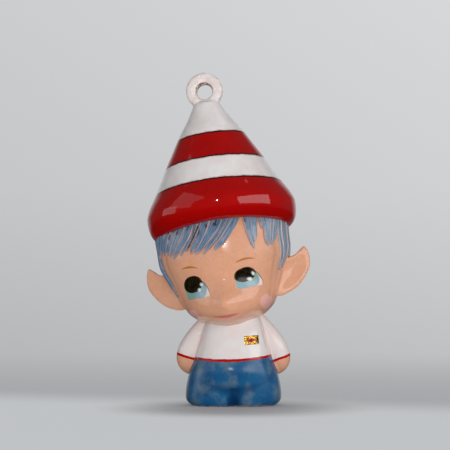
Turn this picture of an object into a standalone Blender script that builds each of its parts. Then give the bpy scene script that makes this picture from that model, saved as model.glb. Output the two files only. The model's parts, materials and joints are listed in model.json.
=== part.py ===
"""Glazed ceramic elf figurine with a hanging loop, cast in one piece.

Metres, +Z up. The figure faces -Y and stands on its flat foot, with the origin at the middle of its
bounding box, on the surface that it stands on. Each form is a primitive, curve or turned profile. The forms
are fused by a voxel remesh, as slip fuses in a mould, and the foot is then cut flat.
"""

import math

import bmesh
import bpy
import numpy as np
from mathutils import Matrix, Vector

MM = 0.001
WELD = 0.000001

# Body and trousers: stations from under the foot to inside the head, as height, half width, front, back
BODY_HEIGHT = 34.0 * MM
BODY_HALF_WIDTH = 14.3 * MM
BODY_DEPTH = 11.6 * MM
BODY_STATIONS = (
    (-0.060, 0.00, 0.00, 0.00),
    (-0.050, 0.60, 0.58, 0.58),
    (0.000, 0.87, 0.87, 0.87),
    (0.050, 0.99, 0.98, 0.98),
    (0.120, 1.00, 1.00, 1.00),
    (0.210, 0.97, 1.00, 0.98),
    (0.310, 0.91, 1.00, 0.96),
    (0.420, 0.82, 0.95, 0.92),
    (0.530, 0.76, 0.86, 0.86),
    (0.650, 0.68, 0.76, 0.78),
    (0.770, 0.56, 0.64, 0.68),
    (0.880, 0.42, 0.52, 0.54),
    (0.970, 0.26, 0.34, 0.34),
    (1.000, 0.00, 0.00, 0.00),
)
BODY_SQUARENESS = 2.35
BELLY_BULGE = 1.0 * MM
BELLY_HEIGHT = 10.6 * MM
BELLY_SPREAD = 6.5 * MM
BELLY_RISE = 3.4 * MM
CROTCH_HEIGHT = 5.6 * MM
CROTCH_DEPTH = 3.0 * MM
CROTCH_HALF_WIDTH = 1.9 * MM

# Arms: from the shoulder to the hand tucked behind the hip, as shares of the body's half width, depth and
# height, and of the arm's thickness
ARM_THICKNESS = 7.7 * MM
ARM_ROUTE = (
    (0.378, 0.052, 0.771, 0.80),
    (0.587, 0.026, 0.676, 0.88),
    (0.762, 0.000, 0.579, 0.96),
    (0.895, 0.017, 0.482, 1.00),
    (0.930, 0.095, 0.409, 0.99),
    (0.874, 0.293, 0.362, 0.90),
    (0.713, 0.569, 0.341, 0.82),
    (0.531, 0.793, 0.335, 0.74),
)
ARM_POINTS = 28
HAND_ROUNDING = 0.1

# Head: its centre, its lean, and stations from the chin to inside the hat
HEAD_RISE = 7.85 * MM
HEAD_SHIFT = -2.2 * MM
HEAD_SETBACK = 0.5 * MM
HEAD_CENTRE = Vector((HEAD_SHIFT, HEAD_SETBACK, BODY_HEIGHT + HEAD_RISE))
HEAD_LEAN = math.radians(7.9)
HEAD_TIP_BACK = math.radians(6.0)
HEAD_TURN = math.radians(7.0)
HEAD_HEIGHT = 37.6 * MM
HEAD_HALF_WIDTH = 19.2 * MM
HEAD_DEPTH = 18.6 * MM
HEAD_STATIONS = (
    (-0.500, 0.000, 0.000, 0.000),
    (-0.493, 0.135, 0.350, 0.180),
    (-0.476, 0.255, 0.600, 0.280),
    (-0.450, 0.400, 0.765, 0.366),
    (-0.407, 0.547, 0.865, 0.495),
    (-0.356, 0.661, 0.900, 0.624),
    (-0.303, 0.724, 0.893, 0.694),
    (-0.229, 0.786, 0.875, 0.763),
    (-0.146, 0.844, 0.882, 0.839),
    (-0.080, 0.891, 0.920, 0.909),
    (0.040, 0.985, 0.946, 0.978),
    (0.170, 1.000, 0.930, 1.010),
    (0.300, 1.000, 0.882, 1.010),
    (0.410, 0.900, 0.785, 0.920),
    (0.480, 0.600, 0.540, 0.590),
    (0.500, 0.000, 0.000, 0.000),
)
HEAD_SQUARENESS = 2.2
NOSE_HEIGHT = -13.3 * MM
NOSE_BULGE = 0.9 * MM
NOSE_HALF_WIDTH = 2.0 * MM
NOSE_BRIDGE_LENGTH = 4.2 * MM
NOSE_UNDERSIDE = 1.3 * MM
MUZZLE_BULGE = 1.9 * MM
MUZZLE_HEIGHT = -12.0 * MM
MUZZLE_HALF_WIDTH = 6.0 * MM
MUZZLE_RISE = 6.5 * MM
CHEEK_SIDE = 8.6 * MM
CHEEK_HEIGHT = -13.0 * MM
CHEEK_BULGE = 0.3 * MM
CHEEK_SPREAD = 4.0 * MM

# Ears: a dished leaf with its tip up. Its outline is shares of the reach out from the ear's root, which is
# inside the head, and of the height up from its lobe
EAR_ROOT_DEPTH = 6.4 * MM
EAR_ROOT = HEAD_HALF_WIDTH - EAR_ROOT_DEPTH
EAR_LOBE = -11.6 * MM
EAR_REACH = 12.8 * MM
EAR_HEIGHT = 14.1 * MM
EAR_THICKNESS = 2.6 * MM
EAR_DISH = 1.5 * MM
EAR_SWEEP = math.radians(24.0)
EAR_MIDDLE = (0.42, 0.47)
EAR_OUTLINE = (
    (0.11, 0.00),
    (0.38, 0.05),
    (0.63, 0.17),
    (0.84, 0.36),
    (0.98, 0.57),
    (1.00, 0.82),
    (0.92, 1.00),
    (0.82, 0.96),
    (0.66, 0.85),
    (0.44, 0.79),
    (0.19, 0.71),
    (0.03, 0.47),
    (0.00, 0.20),
)

# Hat: a cone with a rolled brim, turned about its own axis. Its half outline runs from the tip down the cone,
# round the roll and in under it, as shares of the brim's radius, and of the hat's height or the brim's drop
HAT_RISE = 0.401 * HEAD_HEIGHT
HAT_SEAT = Vector((0.76 * MM, 0.12 * MM, HAT_RISE))
HAT_LEAN = math.radians(7.9)
HAT_TIP_BACK = math.radians(10.0)
HAT_HEIGHT = 35.3 * MM
BRIM_OVERHANG = 3.3 * MM
BRIM_RADIUS = HEAD_HALF_WIDTH + BRIM_OVERHANG
BRIM_DROP = 5.75 * MM
BRIM_FRONT_LIFT = 1.3 * MM
HAT_OUTLINE = (
    (0.000, 1.000),
    (0.098, 0.994),
    (0.169, 0.977),
    (0.204, 0.946),
    (0.240, 0.901),
    (0.324, 0.813),
    (0.418, 0.725),
    (0.560, 0.567),
    (0.662, 0.453),
    (0.804, 0.280),
    (0.880, 0.195),
    (0.951, 0.119),
    (0.991, 0.057),
    (1.000, 0.000),
    (0.991, -0.348),
    (0.969, -0.643),
    (0.924, -0.887),
    (0.867, -1.000),
    (0.800, -0.957),
    (0.711, -0.730),
)
HAT_OUTLINE_POINTS = 76
HAT_STEPS = 96

# Hanging loop on the hat's tip, sunk a little into it
LOOP_RADIUS = 5.6 * MM
LOOP_SINK = 2.2 * MM
LOOP_HEIGHT = HAT_HEIGHT + LOOP_RADIUS - LOOP_SINK
LOOP_HOLE_RADIUS = 2.35 * MM
LOOP_HOLE_DROP = 0.4 * MM
LOOP_THICKNESS = 3.9 * MM
LOOP_EDGE_ROUNDING = 1.2 * MM

# Hair: locks that lie on the head, each scooped along its length between ridges. A lock is, in degrees round
# from the nose, its edges under the brim, its edges halfway down and the middle of its tip; then the height
# of the tip above the head's centre, its scoops, and the width of its tip as a share of the width halfway
HAIR_SCOOP = 0.6 * MM
HAIR_RIDGE = 0.5 * MM
HAIR_RIDGE_SHARPNESS = 5.0
HAIR_SINK = 0.6 * MM
LOCK_THICKNESS = 1.6 * MM
HAIR_UNDER_BRIM = 2.1 * MM
HAIR_ROOT_HEIGHT = HAT_RISE - HAIR_UNDER_BRIM
LOCK_OVERLAP = 0.4
LOCK_TIP_FROM = 0.78
LOCK_TIP_THINNING = 0.6
LOCK_TIP_BLUNTNESS = 0.99
LOCK_EDGE_POWER = 12
LOCK_COLUMNS = 12
LOCK_ROWS = 16
LOCKS = (
    ((-104.0, -88.0), (-103.0, -87.0), -92.0, -9.0 * MM, 2, 0.5),
    ((-92.0, -74.5), (-91.0, -75.0), -79.0, -7.8 * MM, 2, 0.4),
    ((-84.0, -68.0), (-83.0, -72.0), -76.5, 4.6 * MM, 1, 0.8),
    ((-69.0, -60.0), (-73.0, -65.0), -71.0, 4.9 * MM, 1, 0.8),
    ((-61.0, -52.0), (-66.0, -60.0), -66.0, 5.1 * MM, 1, 0.8),
    ((-52.5, -43.5), (-60.5, -53.8), -61.5, 5.1 * MM, 1, 0.8),
    ((-43.5, -35.5), (-54.0, -46.0), -57.5, 4.7 * MM, 1, 0.8),
    ((-35.5, -28.8), (-46.0, -38.0), -52.0, 4.2 * MM, 1, 0.8),
    ((-28.8, -22.5), (-38.0, -30.0), -47.0, 3.7 * MM, 1, 0.8),
    ((-22.5, -15.5), (-30.0, -21.0), -42.5, 2.9 * MM, 1, 0.8),
    ((-16.0, -11.2), (-21.3, -17.8), -33.0, 3.3 * MM, 1, 0.9),
    ((-11.6, -8.2), (-18.2, -14.3), -26.0, 4.2 * MM, 1, 0.8),
    ((-8.2, -2.0), (-14.5, -7.4), -21.5, 3.1 * MM, 1, 0.8),
    ((-2.0, 7.8), (-7.6, -0.3), -17.0, 2.7 * MM, 1, 0.8),
    ((7.8, 12.5), (-0.5, 3.2), -10.6, 2.4 * MM, 1, 0.9),
    ((12.2, 17.0), (3.0, 6.4), -6.0, 3.5 * MM, 1, 0.9),
    ((17.0, 22.8), (6.2, 13.8), -0.8, 3.2 * MM, 1, 0.6),
    ((23.6, 32.0), (25.7, 31.0), 32.2, 2.3 * MM, 1, 0.4),
    ((31.6, 40.0), (30.6, 36.8), 34.0, 4.3 * MM, 1, 0.4),
    ((39.0, 45.5), (40.0, 44.6), 42.6, 7.9 * MM, 1, 0.5),
    ((44.8, 48.4), (44.2, 46.6), 45.6, 3.4 * MM, 1, 0.6),
    ((48.2, 60.0), (46.4, 56.3), 48.6, 2.7 * MM, 2, 0.6),
    ((59.6, 68.5), (56.0, 63.6), 53.2, 2.9 * MM, 1, 0.4),
    ((67.0, 77.0), (64.2, 75.2), 76.0, -4.2 * MM, 2, 0.4),
    ((76.4, 91.0), (74.8, 89.5), 80.5, -3.5 * MM, 2, 0.4),
    ((90.0, 103.0), (89.0, 102.0), 93.0, 0.3 * MM, 2, 0.5),
)
BACK_LOCKS = 20
BACK_FROM = 99.0
BACK_HAIR_END = -9.6 * MM
BACK_STAGGER = 1.5 * MM
BACK_TIP_SHARE = 0.7
EAR_CLEARING = 6.5 * MM
EAR_CLEARING_SPREAD = 12.0

# Casting: the cell and smoothing of the fused skin, and its faces
CAST_CELL = 0.45 * MM
CAST_SMOOTHING_STEPS = 2
CAST_TRIANGLES = 12400

FIGURINE_COLOUR = (0.62, 0.33, 0.20, 1.0)
GLAZE_ROUGHNESS = 0.12


def through(rows, shares):
    """Points of a smooth Catmull-Rom curve through the rows, at shares from 0, the first, to 1, the last."""
    rows = np.asarray(rows, float)
    padded = np.vstack([2 * rows[0] - rows[1], rows, 2 * rows[-1] - rows[-2]])
    place = np.clip(np.asarray(shares, float), 0, 1) * (len(rows) - 1)
    first = np.minimum(place.astype(int), len(rows) - 2)
    t = (place - first)[:, None]
    a, b, c, d = (padded[first + step] for step in range(4))
    return b + 0.5 * t * (c - a + t * (2 * a - 5 * b + 4 * c - d + t * (3 * (b - c) + d - a)))


def through_ring(rows, shares):
    """Points of a smooth closed curve through the rows, at shares of the way round."""
    rows = np.asarray(rows, float)
    count = len(rows)
    place = np.mod(np.asarray(shares, float), 1) * count
    first = place.astype(int) % count
    t = (place - np.floor(place))[:, None]
    a, b, c, d = (rows[(first + step) % count] for step in (-1, 0, 1, 2))
    return b + 0.5 * t * (c - a + t * (2 * a - 5 * b + 4 * c - d + t * (3 * (b - c) + d - a)))


def signed_power(values, power):
    """Values raised to a power with their signs kept, which squares up an ellipse."""
    return np.sign(values) * np.abs(values) ** power


def mound(distance, spread):
    """A smooth mound of height 1 that falls away over the spread."""
    return np.exp(-((distance / spread) ** 2))


def turn(lean, tip_back, twist):
    """Rotation that twists about +Z towards -X, tips the top back and leans it to -X."""
    return (
        Matrix.Rotation(-lean, 3, "Y") @ Matrix.Rotation(-tip_back, 3, "X") @ Matrix.Rotation(-twist, 3, "Z")
    )


HEAD_ROTATION = turn(HEAD_LEAN, HEAD_TIP_BACK, HEAD_TURN)
HAT_ROTATION = turn(HAT_LEAN, HAT_TIP_BACK, HEAD_TURN)
HAT_CENTRE = HEAD_CENTRE + HEAD_ROTATION @ HAT_SEAT


def start_scene():
    """Empties the scene and returns the collections for the part and for its helpers."""
    for old in list(bpy.data.objects):
        bpy.data.objects.remove(old, do_unlink=True)
    part = bpy.data.collections.new("elf_figurine")
    helpers = bpy.data.collections.new("helpers")
    for collection in (part, helpers):
        bpy.context.scene.collection.children.link(collection)
    return part, helpers


def add_object(name, data, collection, rotation=None, place=None):
    """Links a new object that holds the data."""
    made = bpy.data.objects.new(name, data)
    collection.objects.link(made)
    if rotation is not None:
        made.matrix_world = Matrix.Translation(place) @ rotation.to_4x4()
    return made


def shaped_sphere(name, collection, segments, rings, shape, rotation=None, place=None):
    """A UV sphere whose vertices shape() moves, from their directions on the unit sphere."""
    cage = bmesh.new()
    bmesh.ops.create_uvsphere(cage, u_segments=segments, v_segments=rings, radius=1)
    directions = np.array([vertex.co[:] for vertex in cage.verts])
    for vertex, moved in zip(cage.verts, shape(directions)):
        vertex.co = moved
    bmesh.ops.recalc_face_normals(cage, faces=cage.faces)
    mesh = bpy.data.meshes.new(name)
    cage.to_mesh(mesh)
    cage.free()
    return add_object(name, mesh, collection, rotation, place)


def round_and_up(directions):
    """Angle round from the front, and share of the way up the profile, of unit directions."""
    angle = np.arctan2(directions[:, 0], -directions[:, 1])
    share = np.arccos(np.clip(-directions[:, 2], -1, 1)) / math.pi
    return angle, share


def station_points(stations, size, squareness, angle, share):
    """Points on a form whose squared-up oval sections follow the stations."""
    height, half_width, front, back = (through(stations, share) * np.array(size)).T
    across = half_width * signed_power(np.sin(angle), 2 / squareness)
    ahead = signed_power(np.cos(angle), 2 / squareness)
    depth = np.where(ahead > 0, front, back) * ahead
    return np.stack([across, -depth, height], axis=1)


def body_shape(directions):
    """Trousers and shirt: stations, a round belly, and a groove between the legs."""
    angle, share = round_and_up(directions)
    size = (BODY_HEIGHT, BODY_HALF_WIDTH, BODY_DEPTH, BODY_DEPTH)
    points = station_points(BODY_STATIONS, size, BODY_SQUARENESS, angle, share)
    across, height = points[:, 0], points[:, 2]
    facing = np.cos(angle)
    belly = BELLY_BULGE * mound(across, BELLY_SPREAD) * mound(height - BELLY_HEIGHT, BELLY_RISE)
    points[:, 1] -= belly * np.maximum(facing, 0)
    low = np.clip(1 - height / CROTCH_HEIGHT, 0, 1)
    groove = CROTCH_DEPTH * np.sqrt(low) * mound(across, CROTCH_HALF_WIDTH)
    points[:, 1] += groove * np.sign(facing)
    return points


def head_surface(angle, share):
    """Points of the bare head in its own frame, with the nose, the muzzle around it and the cheeks."""
    size = (HEAD_HEIGHT, HEAD_HALF_WIDTH, HEAD_DEPTH, HEAD_DEPTH)
    points = station_points(HEAD_STATIONS, size, HEAD_SQUARENESS, angle, share)
    across, height = points[:, 0], points[:, 2]
    nose_spread = np.where(height > NOSE_HEIGHT, NOSE_BRIDGE_LENGTH, NOSE_UNDERSIDE)
    nose = NOSE_BULGE * mound(across, NOSE_HALF_WIDTH) * mound(height - NOSE_HEIGHT, nose_spread)
    cheeks = CHEEK_BULGE * mound(abs(across) - CHEEK_SIDE, CHEEK_SPREAD) * mound(
        height - CHEEK_HEIGHT, CHEEK_SPREAD
    )
    muzzle = MUZZLE_BULGE * mound(across, MUZZLE_HALF_WIDTH) * mound(height - MUZZLE_HEIGHT, MUZZLE_RISE)
    points[:, 1] -= (nose + cheeks + muzzle) * (np.cos(angle) > 0)
    return points


def head_shape(directions):
    """The head's vertices, from directions on the unit sphere."""
    return head_surface(*round_and_up(directions))


def head_points(angles, heights, lift):
    """Points that lie on the head at these angles round and heights, lifted off it."""
    shares = np.linspace(0, 1, 200)
    profile = through(HEAD_STATIONS, shares)[:, 0] * HEAD_HEIGHT
    share = np.interp(heights, profile, shares)
    points = head_surface(angles, share)
    outwards = points * np.array([1, 1, 0])
    outwards /= np.linalg.norm(outwards, axis=1)[:, None]
    return points + outwards * lift


def ear_shape(directions, side):
    """A dished leaf: the outline shrinks to its middle, and both faces bow back there."""
    reach = np.hypot(directions[:, 0], directions[:, 2])
    angle = np.arctan2(directions[:, 2], directions[:, 0])
    outline = through_ring(EAR_OUTLINE, angle / math.tau)
    middle = np.array(EAR_MIDDLE)
    flat = (middle + (outline - middle) * reach[:, None]) * np.array([EAR_REACH, EAR_HEIGHT])
    depth = np.sign(directions[:, 1]) * EAR_THICKNESS / 2 * np.sqrt(np.clip(1 - reach**4, 0, 1))
    depth += EAR_DISH * (1 - reach**2)
    pivot = EAR_MIDDLE[0] * EAR_REACH
    out = flat[:, 0] - pivot
    x = EAR_ROOT + pivot + out * math.cos(EAR_SWEEP) - depth * math.sin(EAR_SWEEP)
    y = out * math.sin(EAR_SWEEP) + depth * math.cos(EAR_SWEEP)
    return np.stack([side * x, y, EAR_LOBE + flat[:, 1]], axis=1)


def hat_profile():
    """The hat's half profile from its tip round to the axis inside the head."""
    shares = through(HAT_OUTLINE, np.linspace(0, 1, HAT_OUTLINE_POINTS))
    radii = shares[:, 0] * BRIM_RADIUS
    heights = shares[:, 1] * np.where(shares[:, 1] > 0, HAT_HEIGHT, BRIM_DROP)
    return [(radius, 0, height) for radius, height in zip(radii, heights)] + [(0, 0, 0)]


def screw_solid(name, profile, collection, steps):
    """A solid of revolution about its own +Z from a half profile, as a mesh."""
    mesh = bpy.data.meshes.new(name)
    mesh.from_pydata(profile, [(i, i + 1) for i in range(len(profile) - 1)], [])
    turned = add_object(name + "_profile", mesh, collection)
    screw = turned.modifiers.new("turned", "SCREW")
    screw.angle = math.tau
    screw.steps = screw.render_steps = steps
    screw.use_merge_vertices = True
    screw.merge_threshold = WELD
    return as_mesh(turned, name, collection)


def as_mesh(source, name, collection):
    """A mesh object of what the source evaluates to, in its place. The source is removed."""
    graph = bpy.context.evaluated_depsgraph_get()
    mesh = bpy.data.meshes.new_from_object(source.evaluated_get(graph))
    cleaned = bmesh.new()
    cleaned.from_mesh(mesh)
    bmesh.ops.remove_doubles(cleaned, verts=cleaned.verts, dist=WELD)
    bmesh.ops.recalc_face_normals(cleaned, faces=cleaned.faces)
    cleaned.to_mesh(mesh)
    cleaned.free()
    made = bpy.data.objects.new(name, mesh)
    collection.objects.link(made)
    made.matrix_world = source.matrix_world.copy()
    bpy.data.objects.remove(source)
    return made


def make_hat(helpers):
    """The turned hat, its brim lifted over the brow, leaning on the head."""
    hat = screw_solid("hat", hat_profile(), helpers, HAT_STEPS)
    for vertex in hat.data.vertices:
        low = min(max(-vertex.co.z / BRIM_DROP, 0), 1)
        front = max(-vertex.co.y / BRIM_RADIUS, 0)
        vertex.co.z += BRIM_FRONT_LIFT * low * front**1.5
    hat.matrix_world = Matrix.Translation(HAT_CENTRE) @ HAT_ROTATION.to_4x4()
    return hat


def make_loop(helpers):
    """A flat ring with rounded edges, standing on the hat's tip with its hole from front to back."""
    outline = bpy.data.curves.new("loop", "CURVE")
    outline.dimensions = "2D"
    outline.fill_mode = "BOTH"
    outline.extrude = LOOP_THICKNESS / 2 - LOOP_EDGE_ROUNDING
    outline.bevel_depth = LOOP_EDGE_ROUNDING
    outline.bevel_resolution = 3
    rims = ((LOOP_RADIUS - LOOP_EDGE_ROUNDING, 0), (LOOP_HOLE_RADIUS + LOOP_EDGE_ROUNDING, -LOOP_HOLE_DROP))
    for radius, height in rims:
        ring = outline.splines.new("BEZIER")
        ring.bezier_points.add(3)
        ring.use_cyclic_u = True
        for point, quarter in zip(ring.bezier_points, range(4)):
            angle = quarter * math.pi / 2
            point.co = (radius * math.cos(angle), radius * math.sin(angle) + height, 0)
            point.handle_left_type = point.handle_right_type = "AUTO"
    stand = HAT_ROTATION @ Matrix.Rotation(math.pi / 2, 3, "X")
    middle = HAT_CENTRE + HAT_ROTATION @ Vector((0, 0, LOOP_HEIGHT))
    return as_mesh(add_object("loop_outline", outline, helpers, stand, middle), "loop", helpers)


def make_tube(name, helpers, points, radii, rotation=None, place=None):
    """A tube of changing radius through the points, with rounded-off filled ends."""
    curve = bpy.data.curves.new(name, "CURVE")
    curve.dimensions = "3D"
    curve.bevel_depth = 1.0
    curve.bevel_resolution = 3
    curve.use_fill_caps = True
    spline = curve.splines.new("POLY")
    spline.points.add(len(points) - 1)
    for target, point, radius in zip(spline.points, points, radii):
        target.co = (*point, 1)
        target.radius = radius
    return as_mesh(add_object(name + "_route", curve, helpers, rotation, place), name, helpers)


def make_arm(helpers, side):
    """An arm in its sleeve, ending in a plain hand tucked behind the hip."""
    along = np.linspace(0, 1, ARM_POINTS)
    rows = through(ARM_ROUTE, along)
    rounded = np.sqrt(1 - np.clip((along - 1 + HAND_ROUNDING) / HAND_ROUNDING, 0, 0.97) ** 2)
    points = rows[:, :3] * np.array([side * BODY_HALF_WIDTH, BODY_DEPTH, BODY_HEIGHT])
    return make_tube("arm", helpers, points, rows[:, 3] * rounded * ARM_THICKNESS / 2)


def halfway_curve(root, halfway, tip, down):
    """The parabola through its values at the root, halfway down and at the tip."""
    return root * (2 * down - 1) * (down - 1) + 4 * halfway * down * (1 - down) + tip * down * (2 * down - 1)


def lock_shape(grid_points, lock):
    """A lock's outer face: edges that curve to a rounded tip, and scoops between sharp ridges."""
    roots, halfways, tip, end, scoops, tip_share = lock
    across, down = grid_points[:, 0], (1 - grid_points[:, 1]) / 2
    tip_half = tip_share * (halfways[1] - halfways[0]) / 2
    left = halfway_curve(roots[0], halfways[0], tip - tip_half, down)
    right = halfway_curve(roots[1], halfways[1], tip + tip_half, down)
    past = np.clip((down - LOCK_TIP_FROM) / (1 - LOCK_TIP_FROM), 0, LOCK_TIP_BLUNTNESS)
    half = ((right - left) / 2 + LOCK_OVERLAP) * np.sqrt(1 - past**2)
    angles = np.radians((left + right) / 2 + half * across)
    heights = HAIR_ROOT_HEIGHT + (end - HAIR_ROOT_HEIGHT) * down
    ridge = abs(np.cos(math.pi * scoops * (across + 1) / 2)) ** HAIR_RIDGE_SHARPNESS
    thin = 1 - LOCK_TIP_THINNING * past
    side = np.sqrt(1 - across**LOCK_EDGE_POWER)
    lift = side * (HAIR_SINK + thin * (HAIR_SCOOP + HAIR_RIDGE * ridge)) - HAIR_SINK
    return head_points(angles, heights, lift[:, None])


def make_lock(helpers, lock):
    """One lock: a grid laid on the head and given its thickness inwards."""
    cage = bmesh.new()
    bmesh.ops.create_grid(cage, x_segments=LOCK_COLUMNS, y_segments=LOCK_ROWS, size=1)
    grid_points = np.array([vertex.co[:] for vertex in cage.verts])
    for vertex, moved in zip(cage.verts, lock_shape(np.clip(grid_points, -1, 1), lock)):
        vertex.co = moved
    mesh = bpy.data.meshes.new("lock")
    cage.to_mesh(mesh)
    cage.free()
    laid = add_object("lock_face", mesh, helpers, HEAD_ROTATION, HEAD_CENTRE)
    solid = laid.modifiers.new("thickness", "SOLIDIFY")
    solid.thickness = LOCK_THICKNESS
    solid.offset = -1
    return as_mesh(laid, "lock", helpers)


def back_locks():
    """Plain locks all round the back, staggered, and shorter over the ears."""
    edges = np.linspace(BACK_FROM, 360 - BACK_FROM, BACK_LOCKS + 1)
    locks = []
    for number, (left, right) in enumerate(zip(edges[:-1], edges[1:])):
        middle = (left + right) / 2
        from_ear = min(middle - BACK_FROM, 360 - BACK_FROM - middle)
        over_ear = EAR_CLEARING * mound(from_ear, EAR_CLEARING_SPREAD)
        end = BACK_HAIR_END + BACK_STAGGER * (number % 2) + over_ear
        locks.append(((left, right), (left, right), middle, end, 2, BACK_TIP_SHARE))
    return locks


def make_hair(helpers):
    """The fringe, the locks at the temples and sides, and plain hair round the back."""
    return [make_lock(helpers, lock) for lock in (*LOCKS, *back_locks())]


def make_forms(helpers):
    """Every form of the figurine, in its place."""
    forms = [
        shaped_sphere("body", helpers, 72, 56, body_shape),
        shaped_sphere("head", helpers, 96, 72, head_shape, HEAD_ROTATION, HEAD_CENTRE),
        make_hat(helpers),
        make_loop(helpers),
    ]
    for side in (1, -1):
        forms.append(make_arm(helpers, side))
        forms.append(
            shaped_sphere(
                "ear", helpers, 64, 24, lambda at, s=side: ear_shape(at, s), HEAD_ROTATION, HEAD_CENTRE
            )
        )
    return forms + make_hair(helpers)


def join_meshes(forms, name):
    """One mesh that holds every form in world space. The forms are removed."""
    joined = bmesh.new()
    for form in forms:
        mesh = form.data
        mesh.transform(form.matrix_world)
        joined.from_mesh(mesh)
        bpy.data.objects.remove(form)
    mesh = bpy.data.meshes.new(name)
    joined.to_mesh(mesh)
    joined.free()
    return mesh


def cast(forms, helpers):
    """The forms fused into one skin, smoothed and thinned to the casting's faces."""
    mould = add_object("mould", join_meshes(forms, "mould"), helpers)
    remesh = mould.modifiers.new("fused", "REMESH")
    remesh.mode = "VOXEL"
    remesh.voxel_size = CAST_CELL
    smooth = mould.modifiers.new("soft_creases", "SMOOTH")
    smooth.factor = 0.5
    smooth.iterations = CAST_SMOOTHING_STEPS
    graph = bpy.context.evaluated_depsgraph_get()
    faces = len(mould.evaluated_get(graph).data.polygons) * 2
    thinned = mould.modifiers.new("faces", "DECIMATE")
    thinned.ratio = min(CAST_TRIANGLES / faces, 1)
    return as_mesh(mould, "figurine", helpers)


def cut_foot(figurine):
    """Cuts the foot flat at the floor and closes it with one face."""
    skin = bmesh.new()
    skin.from_mesh(figurine.data)
    everything = [*skin.verts, *skin.edges, *skin.faces]
    cut = bmesh.ops.bisect_plane(
        skin, geom=everything, dist=WELD, plane_co=(0, 0, 0), plane_no=(0, 0, 1), clear_inner=True
    )
    rim = [edge for edge in cut["geom_cut"] if isinstance(edge, bmesh.types.BMEdge)]
    bmesh.ops.holes_fill(skin, edges=rim)
    bmesh.ops.recalc_face_normals(skin, faces=skin.faces)
    skin.to_mesh(figurine.data)
    skin.free()


def centre_on_foot(figurine):
    """Moves the figurine so that its bounding box stands centred on the origin."""
    points = np.array([vertex.co[:] for vertex in figurine.data.vertices])
    low, high = points.min(axis=0), points.max(axis=0)
    middle = (low + high) / 2
    figurine.data.transform(Matrix.Translation((-middle[0], -middle[1], -low[2])))


def glazed_clay():
    """The painted and glazed clay, in the clay's own colour."""
    finish = bpy.data.materials.new("glazed_clay")
    finish.use_nodes = True
    shader = finish.node_tree.nodes["Principled BSDF"]
    shader.inputs["Base Color"].default_value = FIGURINE_COLOUR
    shader.inputs["Roughness"].default_value = GLAZE_ROUGHNESS
    shader.inputs["Metallic"].default_value = 0.0
    return finish


def main():
    """Builds the figurine."""
    part, helpers = start_scene()
    figurine = cast(make_forms(helpers), helpers)
    cut_foot(figurine)
    centre_on_foot(figurine)
    figurine.data.materials.append(glazed_clay())
    figurine.data.shade_smooth()
    helpers.objects.unlink(figurine)
    part.objects.link(figurine)
    helpers.hide_render = True


main()
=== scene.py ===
"""Looks of a glazed ceramic elf figurine with a hanging loop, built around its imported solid.

The figure is one casting. Its skin is made here in four closed pieces that overlap where clay meets clay:
the clothes with the arms and hands, the head with its ears, the hair, and the hat with its loop. Sizes are
in millimetres of the figurine at its nominal height, and turn to metres when a mesh is written. The figure
faces -Y, and heights are measured from the foot.
"""

import json
import logging
import math
from dataclasses import dataclass, field
from enum import Enum
from typing import Any

import bpy
import numpy as np
from mathutils import Matrix, Vector


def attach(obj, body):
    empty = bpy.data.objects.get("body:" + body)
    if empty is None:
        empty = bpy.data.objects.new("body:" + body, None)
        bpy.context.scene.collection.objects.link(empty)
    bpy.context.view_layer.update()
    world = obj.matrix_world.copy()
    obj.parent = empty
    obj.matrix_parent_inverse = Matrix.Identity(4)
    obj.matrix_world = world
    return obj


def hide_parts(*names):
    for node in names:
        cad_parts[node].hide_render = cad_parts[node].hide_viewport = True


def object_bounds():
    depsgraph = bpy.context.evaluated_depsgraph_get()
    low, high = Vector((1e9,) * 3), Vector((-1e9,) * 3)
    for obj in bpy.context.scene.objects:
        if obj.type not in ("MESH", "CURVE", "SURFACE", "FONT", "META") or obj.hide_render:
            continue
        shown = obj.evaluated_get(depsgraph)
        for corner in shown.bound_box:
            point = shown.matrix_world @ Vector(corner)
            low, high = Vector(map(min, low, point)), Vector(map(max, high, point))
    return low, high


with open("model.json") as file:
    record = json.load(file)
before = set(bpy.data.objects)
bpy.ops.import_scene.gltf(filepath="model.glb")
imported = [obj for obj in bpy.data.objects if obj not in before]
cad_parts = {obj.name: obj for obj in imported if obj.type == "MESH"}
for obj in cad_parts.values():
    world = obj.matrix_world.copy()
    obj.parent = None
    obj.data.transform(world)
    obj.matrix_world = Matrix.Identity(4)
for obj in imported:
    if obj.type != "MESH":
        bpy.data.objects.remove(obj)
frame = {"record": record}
CAD_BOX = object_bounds()

LOG = logging.getLogger("elf_figurine")
NODE = "figurine"
BODY = "root"
NOMINAL_HEIGHT = 100.18
UNIT = (CAD_BOX[1].z - CAD_BOX[0].z) / NOMINAL_HEIGHT
FOOT = np.array(frame["record"]["mounts"][0]["pos_m"], float) / UNIT
FLAT = 1e6

Rows = tuple[tuple[float, ...], ...]
Span = tuple[float, float]
Point = tuple[float, float, float]
Socket = bpy.types.NodeSocket


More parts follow.
